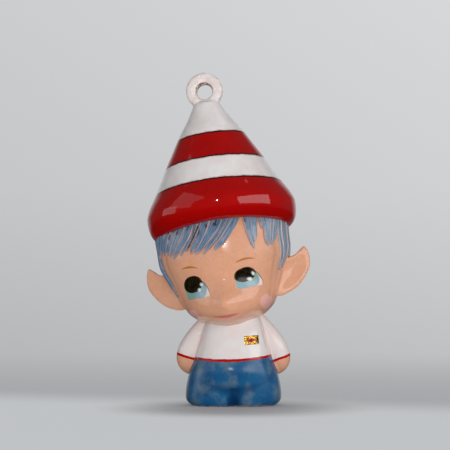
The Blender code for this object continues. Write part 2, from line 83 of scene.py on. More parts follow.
class Paint(Enum):
    """Underglaze paints, bare clay and gold lustre, as sRGB hex."""

    RED = "#AA0503"
    DEEP_RED = "#970202"
    WHITE = "#E0DCDB"
    HAT_WHITE = "#EEEAE9"
    BLUSH_WHITE = "#E0C8C2"
    # Painted shade: a dull pinkish grey for deep in the creases between arms and torso.
    CREASE_SHADE_WHITE = "#B89C94"
    STREAK = "#D8A090"
    LINE_BLACK = "#1A0C0A"
    LINE_BROWN = "#9A5A34"
    SKIN = "#DCA283"
    SKIN_SHADE = "#CC8C6B"
    SKIN_LIGHT = "#E6B294"
    BLUSH = "#EEB2A8"
    LIPS = "#CF6A60"
    BROW = "#AE6A1C"
    PUPIL = "#080604"
    PUPIL_OLIVE = "#423814"
    IRIS = "#7C9EA8"
    IRIS_PALE = "#A9BCC6"
    IRIS_GREEN = "#8BA75C"
    EYE_WHITE = "#E4D2CC"
    EYE_GLINT = "#F4F6F8"
    LID = "#5A3420"
    HAIR = "#5A7C9A"
    HAIR_LIGHT = "#8FA8BC"
    HAIR_DARK = "#385270"
    HAIR_NAVY = "#1E2638"
    RIDGE = "#D2AE9E"
    WISP = "#A4B0B8"
    TROUSERS = "#185B88"
    TROUSERS_DEEP = "#0C4272"
    # Painted shade: deep navy for under the belly and between the legs.
    NAVY_SHADE = "#04305C"
    TROUSERS_WORN = "#6C7F84"
    LAVENDER = "#CFA0A4"
    # Glaze pooled in the face-ear creases together with painted shade there: a greyish brown.
    POOLED_GLAZE_AND_SHADE = "#B99C86"
    GOLD = "#EDB652"
    # Painted shade and painted reflection: dark gold for the top of the loop's hole and for the badge's
    # right end.
    GOLD_SHADE_AND_REFLECTION = "#5A3412"
    CLAY = "#C98A66"


def linear(paint: Paint) -> tuple[float, float, float, float]:
    """Turns a paint's sRGB hex value to linear light.

    Args:
        paint: The paint.

    Returns:
        Linear red, green and blue, with an alpha of 1.
    """
    code = paint.value.lstrip("#")
    shares = [int(code[i : i + 2], 16) / 255 for i in (0, 2, 4)]
    light = [s / 12.92 if s <= 0.04045 else ((s + 0.055) / 1.055) ** 2.4 for s in shares]
    return (*light, 1.0)


def through(rows: Rows, shares: np.ndarray, closed: bool = False) -> np.ndarray:
    """Reads a smooth Catmull-Rom curve through the rows.

    Each span is a cubic whose slope at a row is half the step between that row's two neighbours.

    Args:
        rows: The rows that the curve passes through.
        shares: Places along it, from 0 at the first row to 1 at the last, or at the first again if closed.
        closed: Whether it goes on from the last row to the first.

    Returns:
        The rows' columns at those places, in a last axis.
    """
    table = np.asarray(rows, float)
    if closed:
        table, shares = np.vstack([table[-1], table, table[:2]]), np.mod(shares, 1)
    else:
        table = np.vstack([2 * table[0] - table[1], table, 2 * table[-1] - table[-2]])
    place = np.clip(shares, 0, 1) * (len(table) - 3)
    first = np.minimum(place.astype(int), len(table) - 4)
    t = (place - first)[..., None]
    a, b, c, d = (table[first + step] for step in range(4))
    return b + 0.5 * t * (c - a + t * (2 * a - 5 * b + 4 * c - d + t * (3 * (b - c) + d - a)))


def signed_power(values: np.ndarray, power: float) -> np.ndarray:
    """Raises values to a power with their signs kept, which squares up an ellipse."""
    return np.sign(values) * np.abs(values) ** power


def mound(distance: np.ndarray, spread: Any) -> np.ndarray:
    """A smooth mound of height 1 that falls away over the spread, as e to the minus distance squared."""
    return np.exp(-((distance / spread) ** 2))


def fade(values: np.ndarray, low: float, high: float) -> np.ndarray:
    """A smooth step from 0 at low to 1 at high, by 3t squared less 2t cubed."""
    t = np.clip((values - low) / (high - low), 0, 1)
    return t * t * (3 - 2 * t)


def turn(lean: float, tip_back: float, twist: float) -> np.ndarray:
    """Rotation that twists about +Z towards -X, tips the top back and leans it to -X.

    Args:
        lean: Lean to -X, in degrees.
        tip_back: Tip to +Y, in degrees.
        twist: Twist about +Z, in degrees.

    Returns:
        The rotation matrix.
    """
    steps = ((-lean, "Y"), (-tip_back, "X"), (-twist, "Z"))
    whole = Matrix.Identity(3)
    for angle, axis in steps:
        whole = whole @ Matrix.Rotation(math.radians(angle), 3, axis)
    return np.array(whole)


@dataclass(frozen=True)
class Place:
    """Where a form's own frame stands on the figurine: its middle in millimetres, and its turn."""

    middle: Point = (0.0, 0.0, 0.0)
    rotation: np.ndarray = field(default_factory=lambda: np.eye(3))

    def out(self, points: np.ndarray) -> np.ndarray:
        """Points in metres of points in this frame."""
        return (points @ self.rotation.T + np.array(self.middle) + FOOT) * UNIT

    def own(self, points: np.ndarray) -> np.ndarray:
        """Points in this frame, in millimetres, of points in metres."""
        return (points / UNIT - FOOT - np.array(self.middle)) @ self.rotation

    def mapping(self) -> dict[str, Any]:
        """Settings of a Mapping node that reads Object coordinates in this frame, in millimetres."""
        back = Matrix(self.rotation.T.tolist())
        origin = back @ Vector((np.array(self.middle) + FOOT).tolist())
        return {"Location": -origin, "Rotation": back.to_euler("XYZ"), "Scale": (1 / UNIT,) * 3}


@dataclass
class Skin:
    """A closed surface: its points, and faces as rows of four corners, or three and the last one again."""

    points: np.ndarray
    faces: np.ndarray

    def facing_out(self) -> "Skin":
        """The same skin with its faces turned outwards, so that the volume inside them is above zero."""
        a, b, c, d = (self.points[self.faces[:, i]] for i in range(4))
        volume = np.einsum("ij,ij->i", a, np.cross(b, c) + np.cross(c, d)).sum()
        return self if volume > 0 else Skin(self.points, self.faces[:, ::-1])


def carried(loops: np.ndarray, closed: bool = False) -> Skin:
    """Closes the surface that a loop sweeps as it is carried along a path, or round and back to its start.

    Neighbouring loops are joined by four-sided faces. At the ends of a path, the first and last loops are
    filled by a fan of triangles to their middle.

    Args:
        loops: Points as rows of loops, of shape (rows, columns, 3).
        closed: Whether the path comes back to its start. The first loop isn't repeated.

    Returns:
        The closed skin, facing out.
    """
    rows, columns, _ = loops.shape
    index = np.arange(rows * columns).reshape(rows, columns)
    right, points = np.roll(index, -1, axis=1), loops.reshape(-1, 3)
    if closed:
        index, right = (np.vstack([corners, corners[:1]]) for corners in (index, right))
    sides = np.stack([index[:-1], right[:-1], right[1:], index[1:]], axis=-1).reshape(-1, 4)
    if closed:
        return Skin(points, sides).facing_out()
    fans = ((rows * columns, right[0], index[0]), (rows * columns + 1, index[-1], right[-1]))
    ends = [np.stack([np.full(columns, tip), a, b, np.full(columns, tip)], axis=-1) for tip, a, b in fans]
    middles = np.stack([loops[0].mean(axis=0), loops[-1].mean(axis=0)])
    return Skin(np.concatenate([points, middles]), np.concatenate([sides, *ends])).facing_out()


def joined(skins: list[Skin]) -> Skin:
    """One skin that holds every skin, each still closed by itself."""
    starts = np.cumsum([0] + [len(skin.points) for skin in skins[:-1]])
    faces = np.concatenate([skin.faces + start for skin, start in zip(skins, starts)])
    return Skin(np.concatenate([skin.points for skin in skins]), faces)


def mesh_object(name: str, skin: Skin) -> bpy.types.Object:
    """Writes a skin, in metres, as a smooth-shaded mesh object at the origin.

    Args:
        name: The piece's name.
        skin: Its closed skin.

    Returns:
        The object, linked to the scene.
    """
    mesh = bpy.data.meshes.new(name)
    three = skin.faces[:, 0] == skin.faces[:, 3]
    faces = skin.faces[~three].tolist() + skin.faces[three][:, :3].tolist()
    mesh.from_pydata(skin.points, [], faces)
    mesh.shade_smooth()
    made = bpy.data.objects.new(name, mesh)
    bpy.context.scene.collection.objects.link(made)
    return made


def fused(name: str, skins: list[Skin], cell: float, softening: int) -> bpy.types.Object:
    """Fuses closed skins into one, as slip fuses in a mould, and softens its creases as glaze does.

    Args:
        name: The piece's name.
        skins: Skins in metres, which overlap.
        cell: Size of the fused skin's faces, in millimetres.
        softening: Smoothing steps.

    Returns:
        The fused object, with its modifiers applied.
    """
    made = mesh_object(name, joined(skins))
    remesh = made.modifiers.new("fused", "REMESH")
    remesh.mode = "VOXEL"
    remesh.voxel_size = cell * UNIT
    smooth = made.modifiers.new("softened", "SMOOTH")
    smooth.factor = 0.5
    smooth.iterations = softening
    graph = bpy.context.evaluated_depsgraph_get()
    mesh = bpy.data.meshes.new_from_object(made.evaluated_get(graph))
    made.modifiers.clear()
    old = made.data
    made.data = mesh
    bpy.data.meshes.remove(old)
    mesh.name = name
    mesh.shade_smooth()
    return made


def points_of(made: bpy.types.Object) -> np.ndarray:
    """The points of an object's mesh, in metres."""
    flat = np.empty(len(made.data.vertices) * 3)
    made.data.vertices.foreach_get("co", flat)
    return flat.reshape(-1, 3)


def set_points(made: bpy.types.Object, points: np.ndarray) -> None:
    """Moves the points of an object's mesh to these, in metres."""
    made.data.vertices.foreach_set("co", points.ravel())
    made.data.update()


def set_attribute(made: bpy.types.Object, name: str, values: np.ndarray) -> None:
    """Keeps one number for each point of an object's mesh, for its material to read."""
    made.data.attributes.new(name, "FLOAT", "POINT").data.foreach_set("value", values.astype(np.float32))


@dataclass(frozen=True)
class Ramp:
    """A change from one level to another, between two values of what it reads."""

    low: float
    high: float
    start: float = 0.0
    end: float = 1.0
    kind: str = "LINEAR"


class Nodes:
    """A node tree, with short ways to add the nodes that are used most."""

    def __init__(self, tree: bpy.types.NodeTree) -> None:
        """Starts the tree empty."""
        self.tree = tree
        tree.nodes.clear()

    def add(self, kind: str, values: dict | None = None, output: Any = 0, **settings: Any) -> Socket | None:
        """Adds a node, with its settings, and sets or links its inputs.

        Args:
            kind: The node's type.
            values: Its inputs by name or number, each a value or another node's socket.
            output: The name or number of the output that is wanted.
            **settings: The node's own properties.

        Returns:
            That output, or None from a node that has none.
        """
        node = self.tree.nodes.new(kind)
        for name, value in settings.items():
            setattr(node, name, value)
        for name, value in (values or {}).items():
            if isinstance(value, bpy.types.NodeSocket):
                self.tree.links.new(value, node.inputs[name])
            else:
                node.inputs[name].default_value = value
        return node.outputs[output] if node.outputs else None

    def math(self, operation: str, *values: Socket | float) -> Socket:
        """One step of arithmetic on up to three values."""
        return self.add("ShaderNodeMath", dict(enumerate(values)), operation=operation)

    def axis(self, vector: Socket, name: str) -> Socket:
        """One coordinate of a vector, by its name."""
        return self.add("ShaderNodeSeparateXYZ", {"Vector": vector}, output=name)

    def length(self, vector: Socket) -> Socket:
        """How long a vector is."""
        return self.add("ShaderNodeVectorMath", {0: vector}, output="Value", operation="LENGTH")

    def ramp(self, value: Socket, ramp: Ramp) -> Socket:
        """The level of a ramp at a value."""
        ends = {"From Min": ramp.low, "From Max": ramp.high, "To Min": ramp.start, "To Max": ramp.end}
        return self.add("ShaderNodeMapRange", {"Value": value, **ends}, interpolation_type=ramp.kind)

    def range(self, value: Socket, low: float, high: float) -> Socket:
        """A smooth step from 0 where the value is low to 1 where it is high."""
        return self.ramp(value, Ramp(low, high, kind="SMOOTHSTEP"))

    def both(self, *masks: Socket) -> Socket:
        """Where every one of several masks holds: their product."""
        whole = masks[0]
        for mask in masks[1:]:
            whole = self.math("MULTIPLY", whole, mask)
        return whole

    def outside(self, mask: Socket) -> Socket:
        """Where a mask doesn't hold: one less the mask."""
        return self.math("SUBTRACT", 1.0, mask)


@dataclass(frozen=True)
class Glaze:
    """Clear gloss glaze fired over underglaze paint: sharp, slightly rippled reflections of the studio.

    Glass has an index of 1.5. The ripple is the glaze's orange peel, 1.3 mm from crest to crest. The
    pinholes are a quarter of a millimetre wide, the coarse end of real ones, so that they show.
    """

    roughness: float = 0.05
    index: float = 1.5
    ripple: float = 1.3
    ripple_depth: float = 0.011
    pinhole_spacing: float = 2.3
    pinhole_size: float = 0.13
    pinhole_share: float = 0.3


@dataclass(frozen=True)
class Spot:
    """A painted oval seen from the front: its middle across and up, its half sizes, and its tilt."""

    middle: Span
    half: Span
    tilt: float = 0.0
    edge: float = 0.12


@dataclass(frozen=True)
class Stroke:
    """A brush stroke seen from the front, from one end to the other, bowed up in its middle."""

    start: Span
    end: Span
    bow: float = 0.0
    width: float = 0.3
    edge: float = 0.12


@dataclass(frozen=True)
class Line:
    """A painted line round a form: its height in front, its slope across, and its bow at the sides."""

    height: float
    slope: float = 0.0
    bow: float = 0.0


@dataclass(frozen=True)
class Patches:
    """Clouds of uneven brushwork: their size, how much they cover, and how soft their edges are."""

    size: float
    cover: float = 0.5
    softness: float = 0.12
    stretch: Point = (1.0, 1.0, 1.0)
    detail: float = 4.0
    shift: float = 0.0


@dataclass(frozen=True)
class Coat:
    """A paint laid in clouds of brushwork, and how much of it covers."""

    paint: Paint
    opacity: float
    patches: Patches


@dataclass(frozen=True)
class Marks:
    """Spots and strokes in one paint: how much of it covers, and the brushwork that breaks it up, if any."""

    paint: Paint
    opacity: float
    marks: tuple[Spot | Stroke, ...]
    broken: Patches | None = None


class Painter(Nodes):
    """Lays underglaze paints over one another in a form's own frame, and glazes them.

    Marks are painted only on what lies in front of the form's middle, from front_edge on, in millimetres.
    """

    front_edge: Span = (-3.0, -5.0)
    noise_spread: float = 0.56
    noise_roughness: float = 0.6
    pit_rim: Span = (1.6, 0.6)

    def __init__(self, name: str, place: Place, wobble: float = 0.12, wobble_size: float = 1.6) -> None:
        """Starts a material.

        Args:
            name: The material's name.
            place: The frame that its marks are measured in.
            wobble: How far a hand-held brush strays, in millimetres.
            wobble_size: The length of one such stray.
        """
        self.material = bpy.data.materials.new(name)
        self.material.use_nodes = True
        super().__init__(self.material.node_tree)
        source = self.add("ShaderNodeTexCoord", output="Object")
        self.at = self.add("ShaderNodeMapping", {"Vector": source, **place.mapping()})
        stray = self.add("ShaderNodeTexNoise", {"Vector": self.at, "Scale": 1 / wobble_size}, output="Color")
        centred = self.add("ShaderNodeVectorMath", {0: stray, 1: (0.5,) * 3}, operation="SUBTRACT")
        scaled = self.add("ShaderNodeVectorMath", {0: centred, "Scale": 4 * wobble}, operation="SCALE")
        self.brush = self.add("ShaderNodeVectorMath", {0: self.at, 1: scaled}, operation="ADD")
        self.front = self.range(self.axis(self.at, "Y"), *self.front_edge)

    def lay(self, under: Socket | Paint, over: Socket | Paint, mask: Socket, opacity: float = 1.0) -> Socket:
        """Lays one paint over another where the mask holds.

        Args:
            under: The paint or colour below.
            over: The paint or colour laid on it.
            mask: Where it is laid.
            opacity: How much of it covers.

        Returns:
            The colour that shows.
        """
        colours = [linear(c) if isinstance(c, Paint) else c for c in (under, over)]
        values = {0: self.math("MULTIPLY", mask, opacity), 6: colours[0], 7: colours[1]}
        return self.add("ShaderNodeMix", values, output=2, data_type="RGBA")

    def cloud(self, under: Socket | Paint, coat: Coat, *where: Socket, at: Socket | None = None) -> Socket:
        """Lays a cloudy coat, where every further mask holds too.

        Args:
            under: The paint or colour below.
            coat: The coat.
            *where: The masks.
            at: The coordinates that its clouds read, or the form's own.

        Returns:
            The colour that shows.
        """
        return self.lay(under, coat.paint, self.both(self.patches(coat.patches, at), *where), coat.opacity)

    def draw(self, under: Socket | Paint, *sets: Marks) -> Socket:
        """Draws sets of spots and strokes in order, and gives the colour that shows."""
        for each in sets:
            for mark in each.marks:
                mask = self.spot(mark) if isinstance(mark, Spot) else self.stroke(mark)
                if each.broken:
                    mask = self.both(mask, self.patches(each.broken))
                under = self.lay(under, each.paint, mask, each.opacity)
        return under

    def patches(self, patches: Patches, at: Socket | None = None) -> Socket:
        """A mask of cloudy brushwork: noise cut by a soft threshold.

        Args:
            patches: The brushwork.
            at: The coordinates to read, or the form's own.

        Returns:
            The mask.
        """
        place = {
            "Vector": at or self.at,
            "Location": (patches.shift,) * 3,
            "Scale": tuple(1 / s for s in patches.stretch),
        }
        moved = self.add("ShaderNodeMapping", place)
        brushed = {"Detail": patches.detail, "Roughness": self.noise_roughness}
        noise = self.add("ShaderNodeTexNoise", {"Vector": moved, "Scale": 1 / patches.size, **brushed})
        level = 0.5 + self.noise_spread * (0.5 - patches.cover)
        return self.range(noise, level - patches.softness, level + patches.softness)

    def framed(self, at: Socket, middle: Span, half: Span, tilt: float = 0.0) -> Socket:
        """Coordinates in a mark's own frame, in shares of its half sizes, where depth counts for nothing.

        Args:
            at: The coordinates to read.
            middle: The mark's middle across and up.
            half: Its half sizes.
            tilt: Its tilt, in radians.

        Returns:
            The coordinates.
        """
        place = {"Location": (middle[0], 0, middle[1]), "Rotation": (0, -tilt, 0)}
        place |= {"Vector": at, "Scale": (half[0], FLAT, half[1])}
        return self.add("ShaderNodeMapping", place, vector_type="TEXTURE")

    def spot(self, spot: Spot) -> Socket:
        """A mask of a painted oval: how far a point is from its middle, in shares of its half sizes."""
        distance = self.length(self.framed(self.brush, spot.middle, spot.half, math.radians(spot.tilt)))
        soft = spot.edge / min(spot.half)
        return self.both(self.range(distance, 1 + soft, 1 - soft), self.front)

    def stroke(self, stroke: Stroke) -> Socket:
        """A mask of a brush stroke: a parabola between its ends, thinning towards them."""
        (x0, z0), (x1, z1) = stroke.start, stroke.end
        half = math.hypot(x1 - x0, z1 - z0) / 2
        tilt = math.atan2(z1 - z0, x1 - x0)
        moved = self.framed(self.brush, ((x0 + x1) / 2, (z0 + z1) / 2), (half, 1), tilt)
        along, up = self.axis(moved, "X"), self.axis(moved, "Z")
        squared = self.math("MULTIPLY", along, along)
        middle = self.math("MULTIPLY_ADD", squared, -stroke.bow, stroke.bow)
        distance = self.math("ABSOLUTE", self.math("SUBTRACT", up, middle))
        reach = self.math("MULTIPLY_ADD", squared, -stroke.width / 2, stroke.width / 2)
        inside = self.math("SUBTRACT", reach, distance)
        return self.both(self.range(inside, -stroke.edge / 2, stroke.edge / 2), self.front)

    def above(self, line: Line) -> Socket:
        """How far a point is above a painted line: height less the line's parabola across."""
        across, up = self.axis(self.brush, "X"), self.axis(self.brush, "Z")
        level = self.math("MULTIPLY_ADD", across, -line.slope, up)
        bowed = self.math("MULTIPLY_ADD", self.math("MULTIPLY", across, across), -line.bow, level)
        return self.math("SUBTRACT", bowed, line.height)

    def near(self, height: Socket, middle: float, half: float, edge: float) -> Socket:
        """A mask of a band: where a height is within half of the band's middle."""
        distance = self.math("ABSOLUTE", self.math("SUBTRACT", height, middle))
        return self.range(distance, half + edge, half - edge)

    def pinholes(self, glaze: Glaze) -> Socket:
        """A mask of tiny dark pits: the middles of some cells of a pattern of scattered points."""
        cells = {"Vector": self.at, "Scale": 1 / glaze.pinhole_spacing}
        distance = self.add("ShaderNodeTexVoronoi", cells, output="Distance")
        random = self.axis(self.add("ShaderNodeTexVoronoi", cells, output="Color"), "X")
        size = glaze.pinhole_size / glaze.pinhole_spacing
        pits = self.range(distance, *(share * size for share in self.pit_rim))
        return self.both(pits, self.range(random, 1 - glaze.pinhole_share, 1.01 - glaze.pinhole_share))

    def glazed(
        self,
        colour: Socket,
        glaze: Glaze,
        relief: Socket | None = None,
        gold: Socket | None = None,
        roughness: Socket | None = None,
    ) -> bpy.types.Material:
        """Glazes the paint.

        Args:
            colour: The painted colour.
            glaze: The glaze's gloss and ripple.
            relief: A height in millimetres that stands in the glaze, if any.
            gold: A mask of gold lustre fired on the glaze, if any.
            roughness: Its roughness where that differs from place to place.

        Returns:
            The finished material.
        """
        ripples = {"Vector": self.at, "Scale": 1 / glaze.ripple, "Detail": 2.0}
        noise = self.add("ShaderNodeTexNoise", ripples)
        height = self.math("MULTIPLY", noise, glaze.ripple_depth)
        if relief is not None:
            height = self.math("ADD", height, relief)
        bump = self.add("ShaderNodeBump", {"Height": height, "Distance": UNIT}, output="Normal")
        values = {
            "Base Color": colour,
            "Roughness": glaze.roughness if roughness is None else roughness,
            "IOR": glaze.index,
            "Normal": bump,
        }
        if gold is not None:
            values["Metallic"] = gold
        shader = self.add("ShaderNodeBsdfPrincipled", values)
        self.add("ShaderNodeOutputMaterial", {"Surface": shader})
        return self.material


class Rounded:
    """A form whose sections are squared-up ovals, by its stations: height, half width, front and back."""

    def section(self, angle: np.ndarray, share: np.ndarray) -> np.ndarray:
        """Points of its sections: half width times a power of the sine, and depth times one of the cosine.

        Args:
            angle: Angle round from the front, towards +X.
            share: Share of the way up the stations.

        Returns:
            How far across, how deep and how high they are, in a first axis.
        """
        sizes = np.array([self.height, self.half_width, self.depth, self.depth])
        height, half, front, back = np.moveaxis(through(self.stations, share) * sizes, -1, 0)
        across = half * signed_power(np.sin(angle), 2 / self.squareness)
        ahead = signed_power(np.cos(angle), 2 / self.squareness)
        return np.stack([across, -np.where(ahead > 0, front, back) * ahead, height])

    def skin(self) -> Skin:
        """Its closed skin in metres, as its surface makes it."""
        share = np.linspace(0, 1, self.rows + 2)[1:-1, None]
        angle = np.linspace(0, math.tau, self.columns, endpoint=False)[None, :]
        return carried(self.place.out(self.surface(angle + 0 * share, share + 0 * angle)))


@dataclass
class Ear:
    """A dished leaf of clay with its tip up. Its outline is shares of its reach and of its height."""

    root: float = 12.8
    lobe: float = -11.6
    reach: float = 12.8
    height: float = 14.1
    thickness: float = 2.6
    dish: float = 1.5
    sweep: float = 24.0
    middle: Span = (0.42, 0.47)
    outline: Rows = (
        (0.11, 0), (0.38, 0.05), (0.63, 0.17), (0.84, 0.36), (0.98, 0.57), (1, 0.82), (0.92, 1),
        (0.82, 0.96), (0.66, 0.85), (0.44, 0.79), (0.19, 0.71), (0.03, 0.47), (0, 0.2),
    )
    rows: int = 60
    columns: int = 128

    def skin(self, side: int, place: Place) -> Skin:
        """The ear's closed skin.

        A point is a direction on a ball. Its turn about the ear's face picks a point of the outline, its
        distance from the middle shrinks the outline towards the middle, and the sheet's two faces bow back
        there together by the dish. The sheet thins to nothing at its edge.

        Args:
            side: 1 at the figure's left, -1 at its right.
            place: The head's frame.

        Returns:
            The closed skin, in metres.
        """
        over = np.linspace(0, math.pi, self.rows + 2)[1:-1, None]
        round_ = np.linspace(0, math.tau, self.columns, endpoint=False)[None, :]
        reach, facing = np.sin(over) + 0 * round_, -np.cos(over) + 0 * round_
        outline = through(self.outline, round_ / math.tau + 0 * over, closed=True)
        middle = np.array(self.middle)
        flat = (middle + (outline - middle) * reach[..., None]) * np.array([self.reach, self.height])
        depth = np.sign(facing) * self.thickness / 2 * np.sqrt(np.clip(1 - reach**4, 0, 1))
        depth += self.dish * (1 - reach**2)
        pivot = self.middle[0] * self.reach
        out, sweep = flat[..., 0] - pivot, math.radians(self.sweep)
        x = self.root + pivot + out * math.cos(sweep) - depth * math.sin(sweep)
        y = out * math.sin(sweep) + depth * math.cos(sweep)
        return carried(place.out(np.stack([side * x, y, self.lobe + flat[..., 1]], axis=-1)))


@dataclass(frozen=True)
class Eye:
    """One painted eye: its white, iris and pupil, its glints, its lid and its lower edge."""

    white: Spot
    iris: Spot
    pupil: Spot
    pale: Spot
    greens: tuple[Spot, ...]
    glints: tuple[Spot, ...]
    lids: tuple[Stroke, ...]
    floor: Stroke
    mottling: Coat = Coat(Paint.PUPIL_OLIVE, 0.5, Patches(0.6, 0.4, 0.12, (0.5, 1, 1.6)))
    pale_opacity: float = 0.55
    green_opacity: float = 0.8
    lid_opacity: float = 0.8
    floor_opacity: float = 0.35
    glint_opacity: float = 0.9
    floor_edge: float = 0.1


@dataclass
class Head(Rounded):
    """The head and ears. Stations are height, half width, front and back, as shares of the sizes below."""

    place: Place
    height: float = 37.6
    half_width: float = 19.2
    depth: float = 18.6
    squareness: float = 2.2
    stations: Rows = (
        (-0.5, 0, 0, 0), (-0.493, 0.135, 0.35, 0.18), (-0.476, 0.255, 0.6, 0.28),
        (-0.45, 0.4, 0.765, 0.366), (-0.407, 0.547, 0.865, 0.495), (-0.356, 0.661, 0.9, 0.624),
        (-0.303, 0.724, 0.893, 0.694), (-0.229, 0.786, 0.875, 0.763), (-0.146, 0.844, 0.882, 0.839),
        (-0.08, 0.891, 0.92, 0.909), (0.04, 0.985, 0.946, 0.978), (0.17, 1, 0.93, 1.01),
        (0.3, 1, 0.882, 1.01), (0.41, 0.9, 0.785, 0.92), (0.48, 0.6, 0.54, 0.59), (0.5, 0, 0, 0),
    )
    nose_height: float = -13.3
    nose_bulge: float = 0.9
    nose_half_width: float = 2.0
    nose_bridge: float = 4.2
    nose_underside: float = 1.3
    muzzle_bulge: float = 1.9
    muzzle_height: float = -12.0
    muzzle_half_width: float = 6.0
    muzzle_rise: float = 6.5
    cheek_side: float = 8.6
    cheek_height: float = -13.0
    cheek_bulge: float = 0.3
    cheek_spread: float = 4.0
    crease_angles: Span = (61.0, 73.0)
    crease_depth: float = 0.26
    crease_width: float = 3.4
    crease_top: float = 3.0
    crease_bottom: float = -13.0
    crease_fading: Span = (3.0, 4.0)
    crease_reach: float = 1.02
    ear: Ear = field(default_factory=Ear)
    rows: int = 180
    columns: int = 300
    cell: float = 0.33
    softening: int = 6
    scalp_from: Span = (0.5, 2.5)
    scalp_end: Span = (-9.0, -8.0)
    scalp_away: Span = (20.8, 20.4)
    profile_rows: int = 400
    eyes: tuple[Eye, Eye] = (
        Eye(
            white=Spot((-7.7, -8.37), (3.62, 5), 18),
            iris=Spot((-8.6, -7.4), (3.95, 3.45), -10),
            pupil=Spot((-8.75, -5.5), (3.02, 2.45), 6),
            pale=Spot((-6, -8.2), (1.3, 2), 20, 0.7),
            greens=(Spot((-9.9, -8.9), (1.1, 0.45), -15, 0.3), Spot((-11.3, -7.1), (0.4, 0.8), 0, 0.3)),
            glints=(Spot((-6.1, -6), (0.36, 0.42), 20, 0.35), Spot((-6.95, -7.4), (0.42, 0.4), 0, 0.35)),
            lids=(Stroke((-7.6, -3.45), (-3.75, -9.2), 0.72, 0.36, 0.25),),
            floor=Stroke((-11.6, -9.55), (-3.7, -9.75), -0.2, 0.16, 0.2),
        ),
        Eye(
            white=Spot((7.82, -6.93), (3.64, 3.78), -15.7),
            iris=Spot((7.2, -6.5), (3.6, 3.1), 8),
            pupil=Spot((7, -4.95), (3.14, 2.04), 14),
            pale=Spot((8.9, -7.4), (1.8, 1.3), 20, 0.7),
            greens=(Spot((9.9, -5.1), (0.5, 0.9), 0, 0.3), Spot((8.6, -6.7), (0.9, 0.4), 20, 0.3)),
            glints=(Spot((9.35, -4.85), (0.36, 0.5), 20, 0.35), Spot((8.15, -6.35), (0.58, 0.44), 0, 0.35)),
            lids=(Stroke((8.2, -3), (11.65, -7.9), 0.9, 0.36, 0.25),),
            floor=Stroke((4.1, -8.95), (11.6, -8.15), -0.2, 0.16, 0.2),
        ),
    )
    mottling: tuple[Coat, ...] = (
        Coat(Paint.SKIN_SHADE, 0.5, Patches(7, 0.35, 0.3)),
        Coat(Paint.SKIN_LIGHT, 0.3, Patches(2.4, 0.35, 0.25, shift=9)),
        Coat(Paint.SKIN_SHADE, 0.36, Patches(0.42, 0.42, 0.2, (1, 1, 1.6), 2, 4)),
    )
    ear_streaks: Marks = Marks(
        Paint.LAVENDER,
        0.45,
        (
            Stroke((19.2, -1), (22.2, 0.4), 0.7, 0.6, 0.4),
            Stroke((17.6, -6.5), (20.4, -2.2), 0.5, 0.5, 0.4),
            Stroke((-22.2, -3), (-18, -6.4), -0.9, 0.6, 0.4),
            Stroke((-18.6, -8.6), (-16.4, -7.4), -0.4, 0.5, 0.4),
        ),
    )
    # Greyish bands down the creases between face and ears: glaze pooled there, and painted shade.
    pooled_glaze_and_shade: Marks = Marks(
        Paint.POOLED_GLAZE_AND_SHADE,
        0.3,
        (Stroke((16.9, 3), (14.4, -11.5), 0, 1.5, 0.5), Stroke((-16.9, 3), (-14.4, -11.5), 0, 0.9, 0.5)),
    )
    blushes: Marks = Marks(
        Paint.BLUSH,
        0.8,
        (Spot((-10.6, -14.4), (2.2, 1.7), -33, 0.25), Spot((11.5, -13.3), (1.5, 2.2), -20, 0.25)),
    )
    brows: Marks = Marks(
        Paint.BROW,
        1,
        (Stroke((-11.8, -0.66), (-6.2, -1.3), 0.52, 0.55), Stroke((4.6, -1.32), (10.9, -0.62), 0.55, 0.55)),
    )
    mouth: Marks = Marks(Paint.LIPS, 0.85, (Stroke((-4.3, -15.7), (4, -15.9), -0.6, 0.8, 0.25),))
    wisps: Marks = Marks(
        Paint.WISP,
        0.75,
        (
            Stroke((-13, 4.4), (-14.7, 1.8), 0, 0.5, 0.5), Stroke((-11.8, 4.2), (-13, 2.2), 0, 0.4, 0.5),
            Stroke((-9.4, 4.4), (-11, 2.7), 0, 0.4, 0.5), Stroke((-6.3, 4), (-7.5, 2.4), 0, 0.4, 0.5),
            Stroke((-3.6, 3.4), (-5.5, 1.2), 0, 0.5, 0.5), Stroke((1.2, 4.6), (-1.7, 2.7), 0, 0.8, 0.6),
            Stroke((2.2, 5), (-0.5, 3.1), 0, 0.6, 0.6), Stroke((10.7, 4.4), (11.3, 1.7), 0, 0.6, 0.6),
            Stroke((14.4, 4.2), (15.2, 1.3), 0, 0.5, 0.5),
        ),
        Patches(0.35, 0.6, 0.2),
    )
    dull_glaze: Spot = Spot((10.2, 3.2), (7.6, 5.6), 0, 2.2)
    pupil_dullness: float = 0.3
    dull_roughness: float = 0.34
    pinhole_opacity: float = 0.75
    wobble: float = 0.07

    def surface(self, angle: np.ndarray, share: np.ndarray) -> np.ndarray:
        """Points of the bare head: its sections, with the nose, muzzle and cheeks as mounds on the front.

        Args:
            angle: Angle round from the front, towards +X.
            share: Share of the way up the profile.

        Returns:
            Points in the head's frame, in a last axis.
        """
        across, depth, height = self.section(angle, share)
        spread = np.where(height > self.nose_height, self.nose_bridge, self.nose_underside)
        nose = self.nose_bulge * mound(across, self.nose_half_width)
        nose = nose * mound(height - self.nose_height, spread)
        muzzle = self.muzzle_bulge * mound(across, self.muzzle_half_width)
        nose = nose + muzzle * mound(height - self.muzzle_height, self.muzzle_rise)
        beside = mound(abs(across) - self.cheek_side, self.cheek_spread)
        cheeks = self.cheek_bulge * beside * mound(height - self.cheek_height, self.cheek_spread)
        depth = depth - (nose + cheeks) * (np.cos(angle) > 0)
        return np.stack([across, depth, height], axis=-1)

